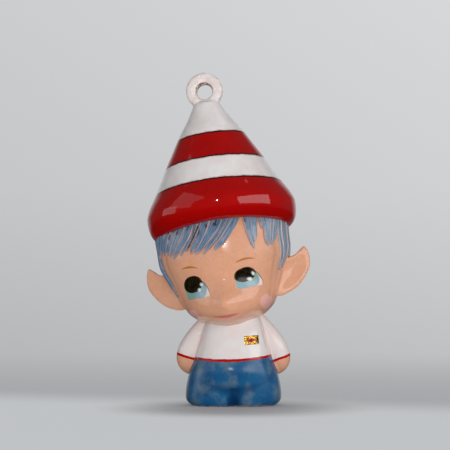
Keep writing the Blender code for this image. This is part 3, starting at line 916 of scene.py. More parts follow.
    def over(self, angle: np.ndarray, height: np.ndarray, lift: np.ndarray) -> np.ndarray:
        """Points that stand a lift off the head, straight out from its axis, at angles and heights."""
        shares = np.linspace(0, 1, self.profile_rows)
        profile = through(self.stations, shares)[:, 0] * self.height
        points = self.surface(angle, np.interp(height, profile, shares))
        out = points * np.array([1, 1, 0])
        return points + out / np.linalg.norm(out, axis=-1, keepdims=True) * lift[..., None]

    def build(self) -> bpy.types.Object:
        """The head, fused with the ears and creased, with its material."""
        ears = [self.ear.skin(side, self.place) for side in (1, -1)]
        made = fused("head", [self.skin(), *ears], self.cell, self.softening)
        self.crease(made)
        made.data.materials.append(self.finish())
        return made

    def crease(self, made: bpy.types.Object) -> None:
        """Presses the two soft creases between the face and each ear, as mounds of the angle round."""
        points = self.place.own(points_of(made))
        angle = np.degrees(np.arctan2(abs(points[:, 0]), -points[:, 1]))
        radius = np.hypot(points[:, 0], points[:, 1])
        below, above = self.crease_fading
        tall = fade(points[:, 2], self.crease_bottom, self.crease_bottom + below)
        tall = tall * fade(points[:, 2], self.crease_top + above, self.crease_top)
        inward = sum(mound(angle - middle, self.crease_width) for middle in self.crease_angles)
        depth = self.crease_depth * inward * tall * (radius < self.half_width * self.crease_reach)
        points[:, :2] *= (1 - depth / np.maximum(radius, 1))[:, None]
        set_points(made, self.place.out(points))

    def finish(self) -> bpy.types.Material:
        """Flesh underglaze under clear glaze: warm and slightly mottled, with the face painted on it.

        Returns:
            The material.
        """
        painter = Painter("glazed_flesh_underglaze", self.place, self.wobble)
        colour = Paint.SKIN
        for coat in self.mottling:
            colour = painter.cloud(colour, coat)
        # The second set is greyish bands down the face-ear creases: glaze pooled there, and painted shade.
        colour = painter.draw(colour, self.ear_streaks, self.pooled_glaze_and_shade, self.blushes)
        for eye in self.eyes:
            colour = self.paint_eye(painter, colour, eye)
        colour = self.paint_scalp(painter, painter.draw(colour, self.brows, self.mouth, self.wisps))
        glaze = Glaze()
        colour = painter.lay(colour, Paint.LINE_BROWN, painter.pinholes(glaze), self.pinhole_opacity)
        dull = painter.spot(self.dull_glaze)
        for eye in self.eyes:
            pupil = painter.math("MULTIPLY", painter.spot(eye.pupil), self.pupil_dullness)
            dull = painter.math("MAXIMUM", dull, pupil)
        roughness = painter.math("MULTIPLY_ADD", dull, self.dull_roughness, glaze.roughness)
        return painter.glazed(colour, glaze, roughness=roughness)

    def paint_eye(self, painter: Painter, colour: Socket, eye: Eye) -> Socket:
        """Paints one eye, from its white up to its glints and lid lines.

        Args:
            painter: The head's painter.
            colour: The colour below.
            eye: The eye.

        Returns:
            The colour that shows.
        """
        (x0, z0), (x1, z1) = eye.floor.start, eye.floor.end
        slope = (z1 - z0) / (x1 - x0)
        floor = painter.above(Line(z0 - slope * x0 + eye.floor.bow, slope))
        open_ = painter.both(painter.spot(eye.white), painter.range(floor, -eye.floor_edge, eye.floor_edge))
        colour = painter.lay(colour, Paint.EYE_WHITE, open_)
        colour = painter.lay(colour, Paint.IRIS, painter.both(painter.spot(eye.iris), open_))
        pale = painter.both(painter.spot(eye.pale), painter.spot(eye.iris), open_)
        colour = painter.lay(colour, Paint.IRIS_PALE, pale, eye.pale_opacity)
        for green in eye.greens:
            green_mask = painter.both(painter.spot(green), open_)
            colour = painter.lay(colour, Paint.IRIS_GREEN, green_mask, eye.green_opacity)
        colour = painter.lay(colour, painter.cloud(Paint.PUPIL, eye.mottling), painter.spot(eye.pupil))
        lids = Marks(Paint.LID, eye.lid_opacity, eye.lids)
        floor_line = Marks(Paint.LINE_BROWN, eye.floor_opacity, (eye.floor,))
        return painter.draw(colour, lids, floor_line, Marks(Paint.EYE_GLINT, eye.glint_opacity, eye.glints))

    def paint_scalp(self, painter: Painter, colour: Socket) -> Socket:
        """Paints the scalp behind the ears blue, where plain hair lies on it."""
        behind = painter.range(painter.axis(painter.at, "Y"), *self.scalp_from)
        high = painter.range(painter.axis(painter.at, "Z"), *self.scalp_end)
        near = painter.range(painter.length(painter.at), *self.scalp_away)
        return painter.lay(colour, Paint.HAIR_DARK, painter.both(behind, high, near))


@dataclass(frozen=True)
class Lock:
    """One lock of hair, in degrees round from the nose.

    They give its edges under the brim, its edges halfway down and the middle of its tip. Then come the
    height of its tip, its scoops, and its tip's share of its width halfway.
    """

    roots: Span
    halfways: Span
    tip: float
    end: float
    scoops: int = 1
    tip_share: float = 0.8


def halfway_curve(root: float, halfway: float, tip: float, down: np.ndarray) -> np.ndarray:
    """The parabola through its values at the root, halfway down and at the tip."""
    return root * (2 * down - 1) * (down - 1) + 4 * halfway * down * (1 - down) + tip * down * (2 * down - 1)


@dataclass
class Hair:
    """Locks scooped into the clay, with sharp ridges between the scoops."""

    head: Head
    root_height: float = 12.98
    scoop: float = 0.5
    ridge: float = 0.34
    ridge_sharpness: float = 9.0
    sink: float = 0.6
    overlap: float = 0.35
    tip_from: float = 0.78
    tip_thinning: float = 0.6
    tip_bluntness: float = 0.99
    edge_power: float = 14.0
    outer_columns: int = 33
    inner_columns: int = 3
    inner_reach: float = 0.9
    lock_step: float = 3.7
    rows: int = 48
    locks: tuple[Lock, ...] = (
        Lock((-104, -88), (-103, -87), -92, -9, 2, 0.5), Lock((-92, -74.5), (-91, -75), -79, -7.8, 2, 0.4),
        Lock((-84, -68), (-83, -72), -76.5, 4.6), Lock((-69, -60), (-73, -65), -71, 4.9),
        Lock((-61, -52), (-66, -60), -66, 5.1), Lock((-52.5, -43.5), (-60.5, -53.8), -61.5, 5.1),
        Lock((-43.5, -35.5), (-54, -46), -57.5, 4.7), Lock((-35.5, -28.8), (-46, -38), -52, 4.2),
        Lock((-28.8, -22.5), (-38, -30), -47, 3.7), Lock((-22.5, -15.5), (-30, -21), -42.5, 2.9),
        Lock((-16, -11.2), (-21.3, -17.8), -33, 3.3, 1, 0.9), Lock((-11.6, -8.2), (-18.2, -14.3), -26, 4.2),
        Lock((-8.2, -2), (-14.5, -7.4), -21.5, 3.1), Lock((-2, 7.8), (-7.6, -0.3), -17, 2.7),
        Lock((7.8, 12.5), (-0.5, 3.2), -10.6, 2.4, 1, 0.9), Lock((12.2, 17), (3, 6.4), -6, 3.5, 1, 0.9),
        Lock((17, 22.8), (6.2, 13.8), -0.8, 3.2, 1, 0.6), Lock((23.6, 32), (25.7, 31), 32.2, 2.3, 1, 0.4),
        Lock((31.6, 40), (30.6, 36.8), 34, 4.3, 1, 0.4), Lock((39, 45.5), (40, 44.6), 42.6, 7.9, 1, 0.5),
        Lock((44.8, 48.4), (44.2, 46.6), 45.6, 3.4, 1, 0.6),
        Lock((48.2, 60), (46.4, 56.3), 48.6, 2.7, 2, 0.6),
        Lock((59.6, 68.5), (56, 63.6), 53.2, 2.9, 1, 0.4), Lock((67, 77), (64.2, 75.2), 76, -4.2, 2, 0.4),
        Lock((76.4, 91), (74.8, 89.5), 80.5, -3.5, 2, 0.4), Lock((90, 103), (89, 102), 93, 0.3, 2, 0.5),
    )
    # Dark navy strokes, mostly just under the brim's edge: paint pooled between the locks, and painted shade
    # under the brim.
    pooled_navy_and_brim_shade: Marks = Marks(
        Paint.HAIR_NAVY,
        0.85,
        (
            Stroke((-4.3, 11.4), (-6.5, 7.4), 0, 2, 0.6), Stroke((-5.4, 9.6), (-9.4, 4.2), 0.25, 0.9, 0.4),
            Stroke((-13.7, 11.2), (-14.4, 8.6), 0, 1.1, 0.5),
            Stroke((-10.9, 11.3), (-11.6, 9.6), 0, 0.9, 0.5), Stroke((-7.4, 4.5), (-8.2, 3.5), 0, 0.9, 0.4),
            Stroke((-2.6, 11.2), (-1.4, 10.2), 0, 0.9, 0.5), Stroke((-0.2, 11.4), (1, 10.5), 0, 0.8, 0.5),
            Stroke((8.2, 11.8), (9.4, 10.2), 0, 0.9, 0.5), Stroke((13, 11.6), (13.4, 9.2), 0, 0.8, 0.5),
        ),
        Patches(0.7, 0.75, 0.2),
    )
    back_from: float = 99.0
    back_locks: int = 20
    back_end: float = -9.6
    back_stagger: float = 1.5
    back_tip_share: float = 0.7
    ear_clearing: float = 6.5
    ear_spread: float = 12.0
    washes: tuple[Coat, ...] = (
        Coat(Paint.HAIR_DARK, 0.6, Patches(1.3, 0.5, 0.22, (1, 0.28, 1), 3)),
        Coat(Paint.HAIR_LIGHT, 0.45, Patches(0.9, 0.42, 0.15, (1, 0.4, 1), 3, 5)),
        Coat(Paint.RIDGE, 0.5, Patches(1.1, 0.3, 0.14, (1, 0.35, 1), 3, 11)),
    )
    # Dark navy patches near the roots: paint pooled in the scoops, and painted shade under the brim.
    root_pools_and_brim_shade: Coat = Coat(Paint.HAIR_NAVY, 0.85, Patches(1.6, 0.36, 0.06, (1, 0.3, 1), 2, 21))
    root_reach: Span = (0.42, 0.1)
    # Paler greyish streaks, laid only on the hair's right side, fading in across these distances.
    pale_streaks_right: Coat = Coat(Paint.WISP, 0.5, Patches(0.8, 0.5, 0.2, (1, 0.5, 1), 3, 51))
    pale_streaks_from: Span = (2.0, 11.0)
    bare_ridges: Coat = Coat(Paint.RIDGE, 0.95, Patches(1.3, 0.66, 0.2, (1, 0.45, 1), 3, 31))
    bare_from: Span = (0.3, 0.85)
    bare_across: Span = (-17.2, -14.5)
    bare_tips: Coat = Coat(Paint.SKIN, 0.8, Patches(0.55, 0.55, 0.25, (1, 1.2, 1), 2, 43))
    tips_from: Span = (0.8, 1.0)
    ripple_depth: float = 0.004

    def plain_locks(self) -> list[Lock]:
        """Locks hanging straight down all round the back, staggered, and shorter over the ears."""
        edges = np.linspace(self.back_from, 360 - self.back_from, self.back_locks + 1)
        middles = (edges[:-1] + edges[1:]) / 2
        aside = np.minimum(middles - self.back_from, 360 - self.back_from - middles)
        ends = self.back_end + self.ear_clearing * mound(aside, self.ear_spread)
        ends = ends + self.back_stagger * (np.arange(self.back_locks) % 2)
        rows = zip(zip(edges[:-1], edges[1:]), middles, ends)
        return [Lock(sides, sides, tip, end, 2, self.back_tip_share) for sides, tip, end in rows]

    def skin(self, lock: Lock) -> tuple[Skin, dict[str, np.ndarray]]:
        """One lock's closed skin, and what its paint reads.

        Each edge of the lock is a parabola down the head, and near the tip both close in on the middle as
        a circle does. Across the lock, its height off the head is a scoop with a sharp ridge at each side,
        by a high power of a cosine, with one more ridge for each further scoop, and it is rounded down
        into the head at both sides.

        Args:
            lock: The lock.

        Returns:
            The skin in metres, and for each point its place along and across, and its ridge.
        """
        down = np.linspace(0.0, 1.0, self.rows)[:, None]
        across = np.linspace(-1.0, 1.0, self.outer_columns)[None, :]
        tip_half = lock.tip_share * (lock.halfways[1] - lock.halfways[0]) / 2
        left = halfway_curve(lock.roots[0], lock.halfways[0], lock.tip - tip_half, down)
        right = halfway_curve(lock.roots[1], lock.halfways[1], lock.tip + tip_half, down)
        past = np.clip((down - self.tip_from) / (1 - self.tip_from), 0, self.tip_bluntness)
        half = ((right - left) / 2 + self.overlap) * np.sqrt(1 - past**2)
        height = self.root_height + (lock.end - self.root_height) * down
        ridge = abs(np.cos(math.pi * lock.scoops * (across + 1) / 2)) ** self.ridge_sharpness
        thin = 1 - self.tip_thinning * past
        side = np.sqrt(1 - across**self.edge_power)
        lift = side * (self.sink + thin * (self.scoop + self.ridge * ridge)) - self.sink
        outer = self.head.over(np.radians((left + right) / 2 + half * across), height + 0 * across, lift)
        under = np.linspace(self.inner_reach, -self.inner_reach, self.inner_columns)[None, :]
        under_angle = np.radians((left + right) / 2 + half * under)
        inner = self.head.over(under_angle, height + 0 * under, np.full(under_angle.shape, -self.sink))
        loops = np.concatenate([outer, inner], axis=1)
        wide = np.concatenate([across, under], axis=1) + 0 * down
        ridges = np.concatenate([ridge, 0 * under], axis=1) * thin
        marks = {
            "along": np.append((down + 0 * wide).ravel(), [0, 1]),
            "across": np.append((half * wide).ravel(), [0, 0]),
            "ridge": np.append(ridges.ravel(), [0, 1]),
        }
        return carried(self.head.place.out(loops)), marks

    def build(self) -> bpy.types.Object:
        """The hair's mesh: every lock, closed by itself, with its paint's attributes.

        Returns:
            The hair, with its material.
        """
        made = [self.skin(lock) for lock in [*self.locks, *self.plain_locks()]]
        hair = mesh_object("hair", joined([skin for skin, _ in made]))
        for name in ("along", "across", "ridge"):
            set_attribute(hair, name, np.concatenate([marks[name] for _, marks in made]))
        counts = [len(skin.points) for skin, _ in made]
        set_attribute(hair, "lock", np.repeat(np.arange(len(made)) * self.lock_step, counts))
        hair.data.materials.append(self.finish())
        return hair

    def finish(self) -> bpy.types.Material:
        """Thin blue wash under clear glaze: streaky, pooled dark in the scoops, darkened near the roots as
        painted shade under the brim, and worn off the ridges.

        Returns:
            The material.
        """
        painter = Painter("glazed_blue_wash", self.head.place)
        along, across, ridge, lock = (
            painter.add("ShaderNodeAttribute", output="Fac", attribute_name=name)
            for name in ("along", "across", "ridge", "lock")
        )
        flow = painter.add("ShaderNodeCombineXYZ", {"X": across, "Y": along, "Z": lock})
        aside = painter.axis(painter.at, "X")
        colour = Paint.HAIR
        for coat in self.washes:
            colour = painter.cloud(colour, coat, at=flow)
        # Dark navy near the roots, under the brim: pooled paint and painted shade.
        colour = painter.cloud(colour, self.root_pools_and_brim_shade, painter.range(along, *self.root_reach), at=flow)
        # Paler greyish streaks on the right side of the hair.
        colour = painter.cloud(colour, self.pale_streaks_right, painter.range(aside, *self.pale_streaks_from), at=flow)
        # Dark navy strokes under the brim's edge: pooled paint and painted shade.
        colour = painter.draw(colour, self.pooled_navy_and_brim_shade)
        bare = painter.both(painter.range(ridge, *self.bare_from), painter.range(aside, *self.bare_across))
        colour = painter.cloud(colour, self.bare_ridges, bare, at=flow)
        tips = painter.both(painter.range(along, *self.tips_from), painter.front)
        colour = painter.cloud(colour, self.bare_tips, tips, at=flow)
        return painter.glazed(colour, Glaze(ripple_depth=self.ripple_depth))


@dataclass
class Hat:
    """A cone with a rolled brim and a loop at its tip, turned about its own axis.

    Its half outline runs from the tip down the cone, round the roll and in under it, as shares of the
    brim's radius, and of the hat's height or the brim's drop.
    """

    place: Place
    height: float = 35.3
    radius: float = 22.5
    drop: float = 5.75
    front_lift: float = 1.7
    front_lift_power: float = 1.5
    outline: Rows = (
        (0, 1), (0.098, 0.994), (0.169, 0.977), (0.204, 0.946), (0.24, 0.901), (0.324, 0.813),
        (0.418, 0.725), (0.56, 0.567), (0.662, 0.453), (0.804, 0.28), (0.88, 0.195), (0.951, 0.119),
        (0.991, 0.057), (1, 0), (0.991, -0.348), (0.969, -0.643), (0.924, -0.887), (0.867, -1),
        (0.8, -0.957), (0.711, -0.73),
    )
    loop_radius: float = 5.6
    loop_height: float = 38.7
    hole_radius: float = 2.35
    hole_drop: float = 0.4
    loop_thickness: float = 3.9
    loop_squareness: float = 3.2
    loop_rows: int = 160
    loop_columns: int = 64
    rows: int = 220
    columns: int = 300
    cell: float = 0.34
    softening: int = 7
    lines: tuple[Line, ...] = (Line(7.85, -0.015, -0.0012), Line(15.56, -0.014, -0.0006), Line(23.6, -0.002))
    line_width: float = 0.46
    line_edge: float = 0.07
    band_edge: float = 0.06
    wobble: float = 0.11
    sugar_relief: float = 0.2
    wobble_size: float = 2.6
    loop_from: Span = (33.8, 35.8)
    white_wash: Coat = Coat(Paint.BLUSH_WHITE, 0.45, Patches(4.5, 0.42, 0.22))
    loop_wash: Coat = Coat(Paint.BLUSH_WHITE, 0.6, Patches(1.7, 0.55, 0.2, shift=3))
    red_wash: Coat = Coat(Paint.DEEP_RED, 0.5, Patches(6, 0.4, 0.3))
    # Painted shade: below this height the brim's roll, which faces down, is laid in deeper red.
    shaded_underside: Span = (0.5, -4.5)
    shaded_underside_opacity: float = 0.9
    line_fringe: Coat = Coat(Paint.LINE_BROWN, 0.55, Patches(2.2, 0.55, 0.12, shift=7))
    fringe_away: float = 0.32
    fringe_half: float = 0.22
    fringe_edge: float = 0.14
    lustre: Patches = Patches(1.2, 0.6, 0.1)
    lustre_reach: Span = (2.9, 2.65)
    # Painted shade: between these heights about the hole's middle, the hole's wall faces down and is laid in
    # dark gold.
    hole_top_shade_from: Span = (-0.4, 0.9)
    lustre_opacity: float = 0.35
    hole_top_shade_opacity: float = 0.9
    sugar: Patches = Patches(1.3, 0.5, 0.3, detail=1, shift=13)
    pinhole_opacity: float = 0.3
    ripple_depth: float = 0.005

    def build(self) -> bpy.types.Object:
        """The hat's mesh: its profile carried round its axis, fused with the loop.

        Returns:
            The hat, with its material.
        """
        rows = through(self.outline, np.linspace(0, 1, self.rows)[1:])
        radius = rows[:, 0] * self.radius
        height = rows[:, 1] * np.where(rows[:, 1] > 0, self.height, self.drop)
        angle = np.linspace(0, math.tau, self.columns, endpoint=False)[None, :]
        across, ahead = radius[:, None] * np.sin(angle), -radius[:, None] * np.cos(angle)
        low = np.clip(-height / self.drop, 0, 1)[:, None]
        lift = self.front_lift * low * np.maximum(-ahead / self.radius, 0) ** self.front_lift_power
        cone = carried(self.place.out(np.stack([across, ahead, height[:, None] + lift], axis=-1)))
        made = fused("hat", [cone, self.loop()], self.cell, self.softening)
        made.data.materials.append(self.finish())
        return made

    def loop(self) -> Skin:
        """The loop's closed skin: a squared-up oval carried round between the hole and the outer rim.

        Returns:
            The skin, in metres.
        """
        round_ = np.linspace(0, math.tau, self.loop_rows, endpoint=False)[:, None]
        about = np.linspace(0, math.tau, self.loop_columns, endpoint=False)[None, :]
        outer = np.stack([np.cos(round_), np.sin(round_)], axis=-1) * self.loop_radius
        inner = np.stack([np.cos(round_), np.sin(round_)], axis=-1) * self.hole_radius
        inner = inner - np.array([0, self.hole_drop])
        power = 2 / self.loop_squareness
        share = (1 + signed_power(np.cos(about), power)) / 2
        flat = inner + (outer - inner) * share[..., None]
        deep = -signed_power(np.sin(about), power) * self.loop_thickness / 2 + 0 * round_
        points = np.stack([flat[..., 0], deep, self.loop_height + flat[..., 1]], axis=-1)
        return carried(self.place.out(points), closed=True)

    def finish(self) -> bpy.types.Material:
        """Red and white underglaze in bands under clear glaze, with thin black lines drawn between them.

        Returns:
            The material.
        """
        painter = Painter("glazed_banded_underglaze", self.place, self.wobble, self.wobble_size)
        up = painter.axis(painter.at, "Z")
        loop = painter.range(up, *self.loop_from)
        white = painter.cloud(painter.cloud(Paint.HAT_WHITE, self.white_wash), self.loop_wash, loop)
        red = painter.cloud(Paint.RED, self.red_wash)
        # Painted shade: deeper red on the brim's downward-facing underside.
        red = painter.lay(red, Paint.DEEP_RED, painter.range(up, *self.shaded_underside), self.shaded_underside_opacity)
        heights = [painter.above(line) for line in self.lines]
        colour = red
        for height, band in zip(heights, (white, red, white)):
            colour = painter.lay(colour, band, painter.range(height, -self.band_edge, self.band_edge))
        for height, side in zip(heights, (1, -1, 1)):
            fringe = painter.near(height, side * self.fringe_away, self.fringe_half, self.fringe_edge)
            colour = painter.cloud(colour, self.line_fringe, fringe)
            line = painter.near(height, 0, self.line_width / 2, self.line_edge)
            colour = painter.lay(colour, Paint.LINE_BLACK, line)
        middle = self.loop_height - self.hole_drop
        from_axis = painter.length(painter.framed(painter.at, (0, middle), (1, 1)))
        wall = painter.both(painter.range(from_axis, *self.lustre_reach), painter.patches(self.lustre))
        colour = painter.lay(colour, Paint.GOLD, wall, self.lustre_opacity)
        # Painted shade: dark gold on the downward-facing top of the hole's wall.
        over = painter.both(wall, painter.range(up, *(middle + step for step in self.hole_top_shade_from)))
        colour = painter.lay(colour, Paint.GOLD_SHADE_AND_REFLECTION, over, self.hole_top_shade_opacity)
        glaze = Glaze(ripple_depth=self.ripple_depth)
        colour = painter.lay(colour, Paint.LINE_BROWN, painter.pinholes(glaze), self.pinhole_opacity)
        sugar = painter.both(loop, painter.patches(self.sugar))
        return painter.glazed(colour, glaze, painter.math("MULTIPLY", sugar, self.sugar_relief))


@dataclass
class Clothes(Rounded):
    """The shirt, trousers, arms and hands. Stations are height, half width, front and back, as shares."""

    place: Place
    height: float = 34.0
    half_width: float = 14.3
    depth: float = 11.6
    squareness: float = 2.35
    stations: Rows = (
        (-0.06, 0, 0, 0), (-0.05, 0.6, 0.58, 0.58), (0, 0.87, 0.87, 0.87), (0.05, 0.99, 0.98, 0.98),
        (0.12, 1, 1, 1), (0.21, 0.97, 1, 0.98), (0.31, 0.91, 1, 0.96), (0.42, 0.82, 0.95, 0.92),
        (0.53, 0.76, 0.86, 0.86), (0.65, 0.68, 0.76, 0.78), (0.77, 0.56, 0.64, 0.68),
        (0.88, 0.42, 0.52, 0.54), (0.97, 0.26, 0.34, 0.34), (1, 0, 0, 0),
    )
    belly_bulge: float = 1.0
    belly_height: float = 10.6
    belly_spread: float = 6.5
    belly_rise: float = 3.4
    crotch_height: float = 5.6
    crotch_depth: float = 3.0
    crotch_half_width: float = 1.9
    arm_thickness: float = 7.7
    arm_route: Rows = (
        (0.378, 0.052, 0.771, 0.8), (0.587, 0.026, 0.676, 0.88), (0.762, 0, 0.579, 0.96),
        (0.895, 0.017, 0.482, 1), (0.93, 0.095, 0.409, 0.99), (0.874, 0.293, 0.362, 0.9),
        (0.713, 0.569, 0.341, 0.82), (0.531, 0.793, 0.335, 0.74),
    )
    arm_roll: Point = (0.76, 0.47, 0.45)
    arm_rows: int = 90
    arm_columns: int = 48
    hand_rounding: float = 0.1
    hand_bluntness: float = 0.985
    rows: int = 160
    columns: int = 260
    cell: float = 0.3
    softening: int = 6
    hem: Line = Line(13.85, 0.035, 0.006)
    left_cuff: Line = Line(10.3, -0.3, 0)
    right_cuff: Line = Line(9, 0.36, 0)
    hem_width: float = 0.8
    hem_edge: float = 0.08
    paint_edge: Span = (-0.05, 0.05)
    foot_edge: Span = (0.55, 0.2)
    # Painted shade: a dark navy curve under the belly's overhang, above the legs.
    belly_fold_shade: Marks = Marks(Paint.NAVY_SHADE, 0.6, (Stroke((-8.6, 7.2), (8.6, 7), -2, 2.8, 2.2),))
    streaks: Marks = Marks(
        Paint.STREAK,
        0.5,
        (
            Stroke((-9.2, 22.3), (-10.7, 16.4), 0, 0.8, 0.6),
            Stroke((8.2, 23.2), (10.3, 15.3), 0, 0.6, 0.5), Stroke((13.4, 21), (16.6, 15.8), 0, 0.5, 0.5),
            Stroke((-15.6, 20.4), (-16.4, 16.2), 0, 0.6, 0.5),
        ),
    )
    shirt_wash: Coat = Coat(Paint.BLUSH_WHITE, 0.5, Patches(5, 0.4, 0.22))
    sleeve_from: Span = (0.42, 0.3)
    # Bands by distance outside the arms, as middle, half width and edge: the first lays pinkish white along
    # the arm-torso creases, partly thin paint and partly painted shade; the second lays painted shade deep
    # in them.
    crease: Point = (0.3, 0.3, 0.5)
    deep_crease_shade: Point = (0.5, 0.1, 0.4)
    crease_paint_and_shade_opacity: float = 0.7
    deep_crease_shade_opacity: float = 0.6
    trousers_washes: tuple[Coat, ...] = (
        Coat(Paint.TROUSERS_DEEP, 0.7, Patches(6, 0.4, 0.2)),
        Coat(Paint.TROUSERS_WORN, 0.62, Patches(5, 0.4, 0.14, (1.1, 1.1, 1.2), 5, 5)),
    )
    foot_scuffs: Coat = Coat(Paint.CLAY, 0.7, Patches(3, 0.5, 0.05, shift=17))
    trousers_roughness: float = 0.2
    # Painted shade: dark navy down the groove between the legs.
    leg_gap_shade: Marks = Marks(Paint.NAVY_SHADE, 0.9, (Spot((-0.2, 1), (1.7, 3.4), 0, 0.9),))
    badge: Spot = Spot((5.3, 19.75), (2.15, 1.3), 4)
    badge_bar: Spot = Spot((5.3, 19.75), (1.35, 0.5), 4)
    # Painted reflection: a dark gold patch on the badge's right end, standing in for a dark reflection in
    # the gold lustre.
    badge_painted_reflection: Spot = Spot((7.1, 19.9), (0.55, 1.1), 4, 0.3)
    badge_painted_reflection_opacity: float = 0.85
    badge_crumple: Patches = Patches(1.1, 0.5, 0.3, detail=1, shift=23)
    badge_edge: Span = (1.04, 0.96)
    badge_relief: float = 0.2
    badge_roughness: float = 0.2
    wobble: float = 0.1
    wobble_size: float = 2.2

    def surface(self, angle: np.ndarray, share: np.ndarray) -> np.ndarray:
        """Points of the torso and trousers.

        The belly is a mound that pushes the front out, and the groove between the legs a mound across that
        deepens as the root of the way down.

        Args:
            angle: Angle round from the front, towards +X.
            share: Share of the way up the profile.

        Returns:
            Points in a last axis.
        """
        across, depth, height = self.section(angle, share)
        facing = np.cos(angle)
        belly = mound(across, self.belly_spread) * mound(height - self.belly_height, self.belly_rise)
        depth = depth - self.belly_bulge * belly * np.maximum(facing, 0)
        low = np.clip(1 - height / self.crotch_height, 0, 1)
        groove = self.crotch_depth * np.sqrt(low) * mound(across, self.crotch_half_width)
        return np.stack([across, depth + groove * np.sign(facing), height], axis=-1)

    def arm_path(self, side: int) -> tuple[np.ndarray, np.ndarray]:
        """Points along the middle of an arm, and its radius there, rounded off at the hand.

        Args:
            side: 1 at the figure's left, -1 at its right.

        Returns:
            The points and the radii.
        """
        along = np.linspace(0, 1, self.arm_rows)
        rows = through(self.arm_route, along)
        past = np.clip((along - 1 + self.hand_rounding) / self.hand_rounding, 0, self.hand_bluntness)
        points = rows[:, :3] * np.array([side * self.half_width, self.depth, self.height])
        return points, rows[:, 3] * np.sqrt(1 - past**2) * self.arm_thickness / 2

    def arm(self, side: int) -> Skin:
        """An arm's closed skin: a circle of changing radius carried along the arm's path."""
        points, radii = self.arm_path(side)
        along = np.gradient(points, axis=0)
        along = along / np.linalg.norm(along, axis=1, keepdims=True)
        beside = np.cross(along, np.array(self.arm_roll) * np.array([side, 1, 1]))
        beside = beside / np.linalg.norm(beside, axis=1, keepdims=True)
        upright = np.cross(beside, along)
        about = np.linspace(0, math.tau, self.arm_columns, endpoint=False)[None, :, None]
        ring = np.cos(about) * beside[:, None] + np.sin(about) * upright[:, None]
        return carried(self.place.out(points[:, None] + ring * radii[:, None, None]))

    def build(self) -> bpy.types.Object:
        """The clothed body's mesh: torso and arms fused, with its foot pressed flat.

        Returns:
            The body, with its material.
        """
        made = fused("body", [self.skin(), self.arm(1), self.arm(-1)], self.cell, self.softening)
        points = self.place.own(points_of(made))
        points[:, 2] = np.maximum(points[:, 2], 0)
        set_points(made, self.place.out(points))
        set_attribute(made, "from_arm", self.from_arms(points))
        made.data.materials.append(self.finish())
        return made

    def from_arms(self, points: np.ndarray) -> np.ndarray:
        """How far each point is outside the nearer arm: distance to the arm's path less its radius."""
        nearest = np.full(len(points), FLAT)
        for side in (1, -1):
            path, radii = self.arm_path(side)
            for middle, radius in zip(path, radii):
                nearest = np.minimum(nearest, np.linalg.norm(points - middle, axis=1) - radius)
        return nearest

    def finish(self) -> bpy.types.Material:
        """White, blue, red and flesh underglaze under clear glaze, thin and streaky where it was brushed.

        Returns:
            The material.
        """
        painter = Painter("glazed_clothes_underglaze", self.place, self.wobble, self.wobble_size)
        from_arm = painter.add("ShaderNodeAttribute", output="Fac", attribute_name="from_arm")
        arm = painter.range(from_arm, *self.sleeve_from)
        shirt = painter.cloud(Paint.WHITE, self.shirt_wash)
        # Painted shade in the creases between arms and torso, the first band partly thin pinkish paint as
        # well.
        crease = painter.near(from_arm, *self.crease)
        shirt = painter.lay(shirt, Paint.BLUSH_WHITE, crease, self.crease_paint_and_shade_opacity)
        deep = painter.near(from_arm, *self.deep_crease_shade)
        shirt = painter.lay(shirt, Paint.CREASE_SHADE_WHITE, deep, self.deep_crease_shade_opacity)
        shirt = painter.draw(shirt, self.streaks)
        blue = Paint.TROUSERS
        for coat in self.trousers_washes:
            blue = painter.cloud(blue, coat)
        # Painted shade: dark navy under the belly and down the groove between the legs.
        blue = painter.draw(blue, self.belly_fold_shade, self.leg_gap_shade)
        foot = painter.range(painter.axis(painter.at, "Z"), *self.foot_edge)
        blue = painter.cloud(blue, self.foot_scuffs, foot)
        hem = painter.above(self.hem)
        cuffs = {2: painter.above(self.left_cuff), 3: painter.above(self.right_cuff)}
        right = painter.range(painter.axis(painter.at, "X"), -0.5, 0.5)
        cuff = painter.add("ShaderNodeMix", {0: right, **cuffs}, data_type="FLOAT")
        sleeve = painter.lay(Paint.SKIN, shirt, painter.range(cuff, *self.paint_edge))
        torso = painter.lay(blue, shirt, painter.range(hem, *self.paint_edge))
        half = self.hem_width / 2
        sleeve = painter.lay(sleeve, Paint.RED, painter.near(cuff, 0, half, self.hem_edge))
        torso = painter.lay(torso, Paint.RED, painter.near(hem, 0, half, self.hem_edge))
        gold, bar = self.badge_mask(painter), painter.spot(self.badge_bar)
        colour = painter.lay(painter.lay(torso, sleeve, arm), Paint.GOLD, gold)
        colour = painter.lay(colour, Paint.DEEP_RED, bar)
        # Painted reflection: dark gold over the badge's right end.
        dark_reflection = painter.both(gold, painter.spot(self.badge_painted_reflection))
        colour = painter.lay(colour, Paint.GOLD_SHADE_AND_REFLECTION, dark_reflection, self.badge_painted_reflection_opacity)
        lustre = painter.both(gold, painter.outside(bar))
        crumpled = painter.both(gold, painter.patches(self.badge_crumple))
        relief = painter.math("MULTIPLY", crumpled, self.badge_relief)
        glaze = Glaze()
        roughness = painter.math("MULTIPLY_ADD", lustre, self.badge_roughness, glaze.roughness)
        trousers = painter.both(painter.range(hem, *self.paint_edge[::-1]), painter.outside(arm))
        roughness = painter.math("MULTIPLY_ADD", trousers, self.trousers_roughness, roughness)
        return painter.glazed(colour, glaze, relief, lustre, roughness)

    def badge_mask(self, painter: Painter) -> Socket:
        """A mask of a plain rectangle on the chest: the larger of the two distances from its middle."""
        moved = painter.framed(painter.at, self.badge.middle, self.badge.half, math.radians(self.badge.tilt))
        apart = painter.add("ShaderNodeVectorMath", {0: moved}, operation="ABSOLUTE")
        distance = painter.math("MAXIMUM", painter.axis(apart, "X"), painter.axis(apart, "Z"))
        return painter.both(painter.range(distance, *self.badge_edge), painter.front)


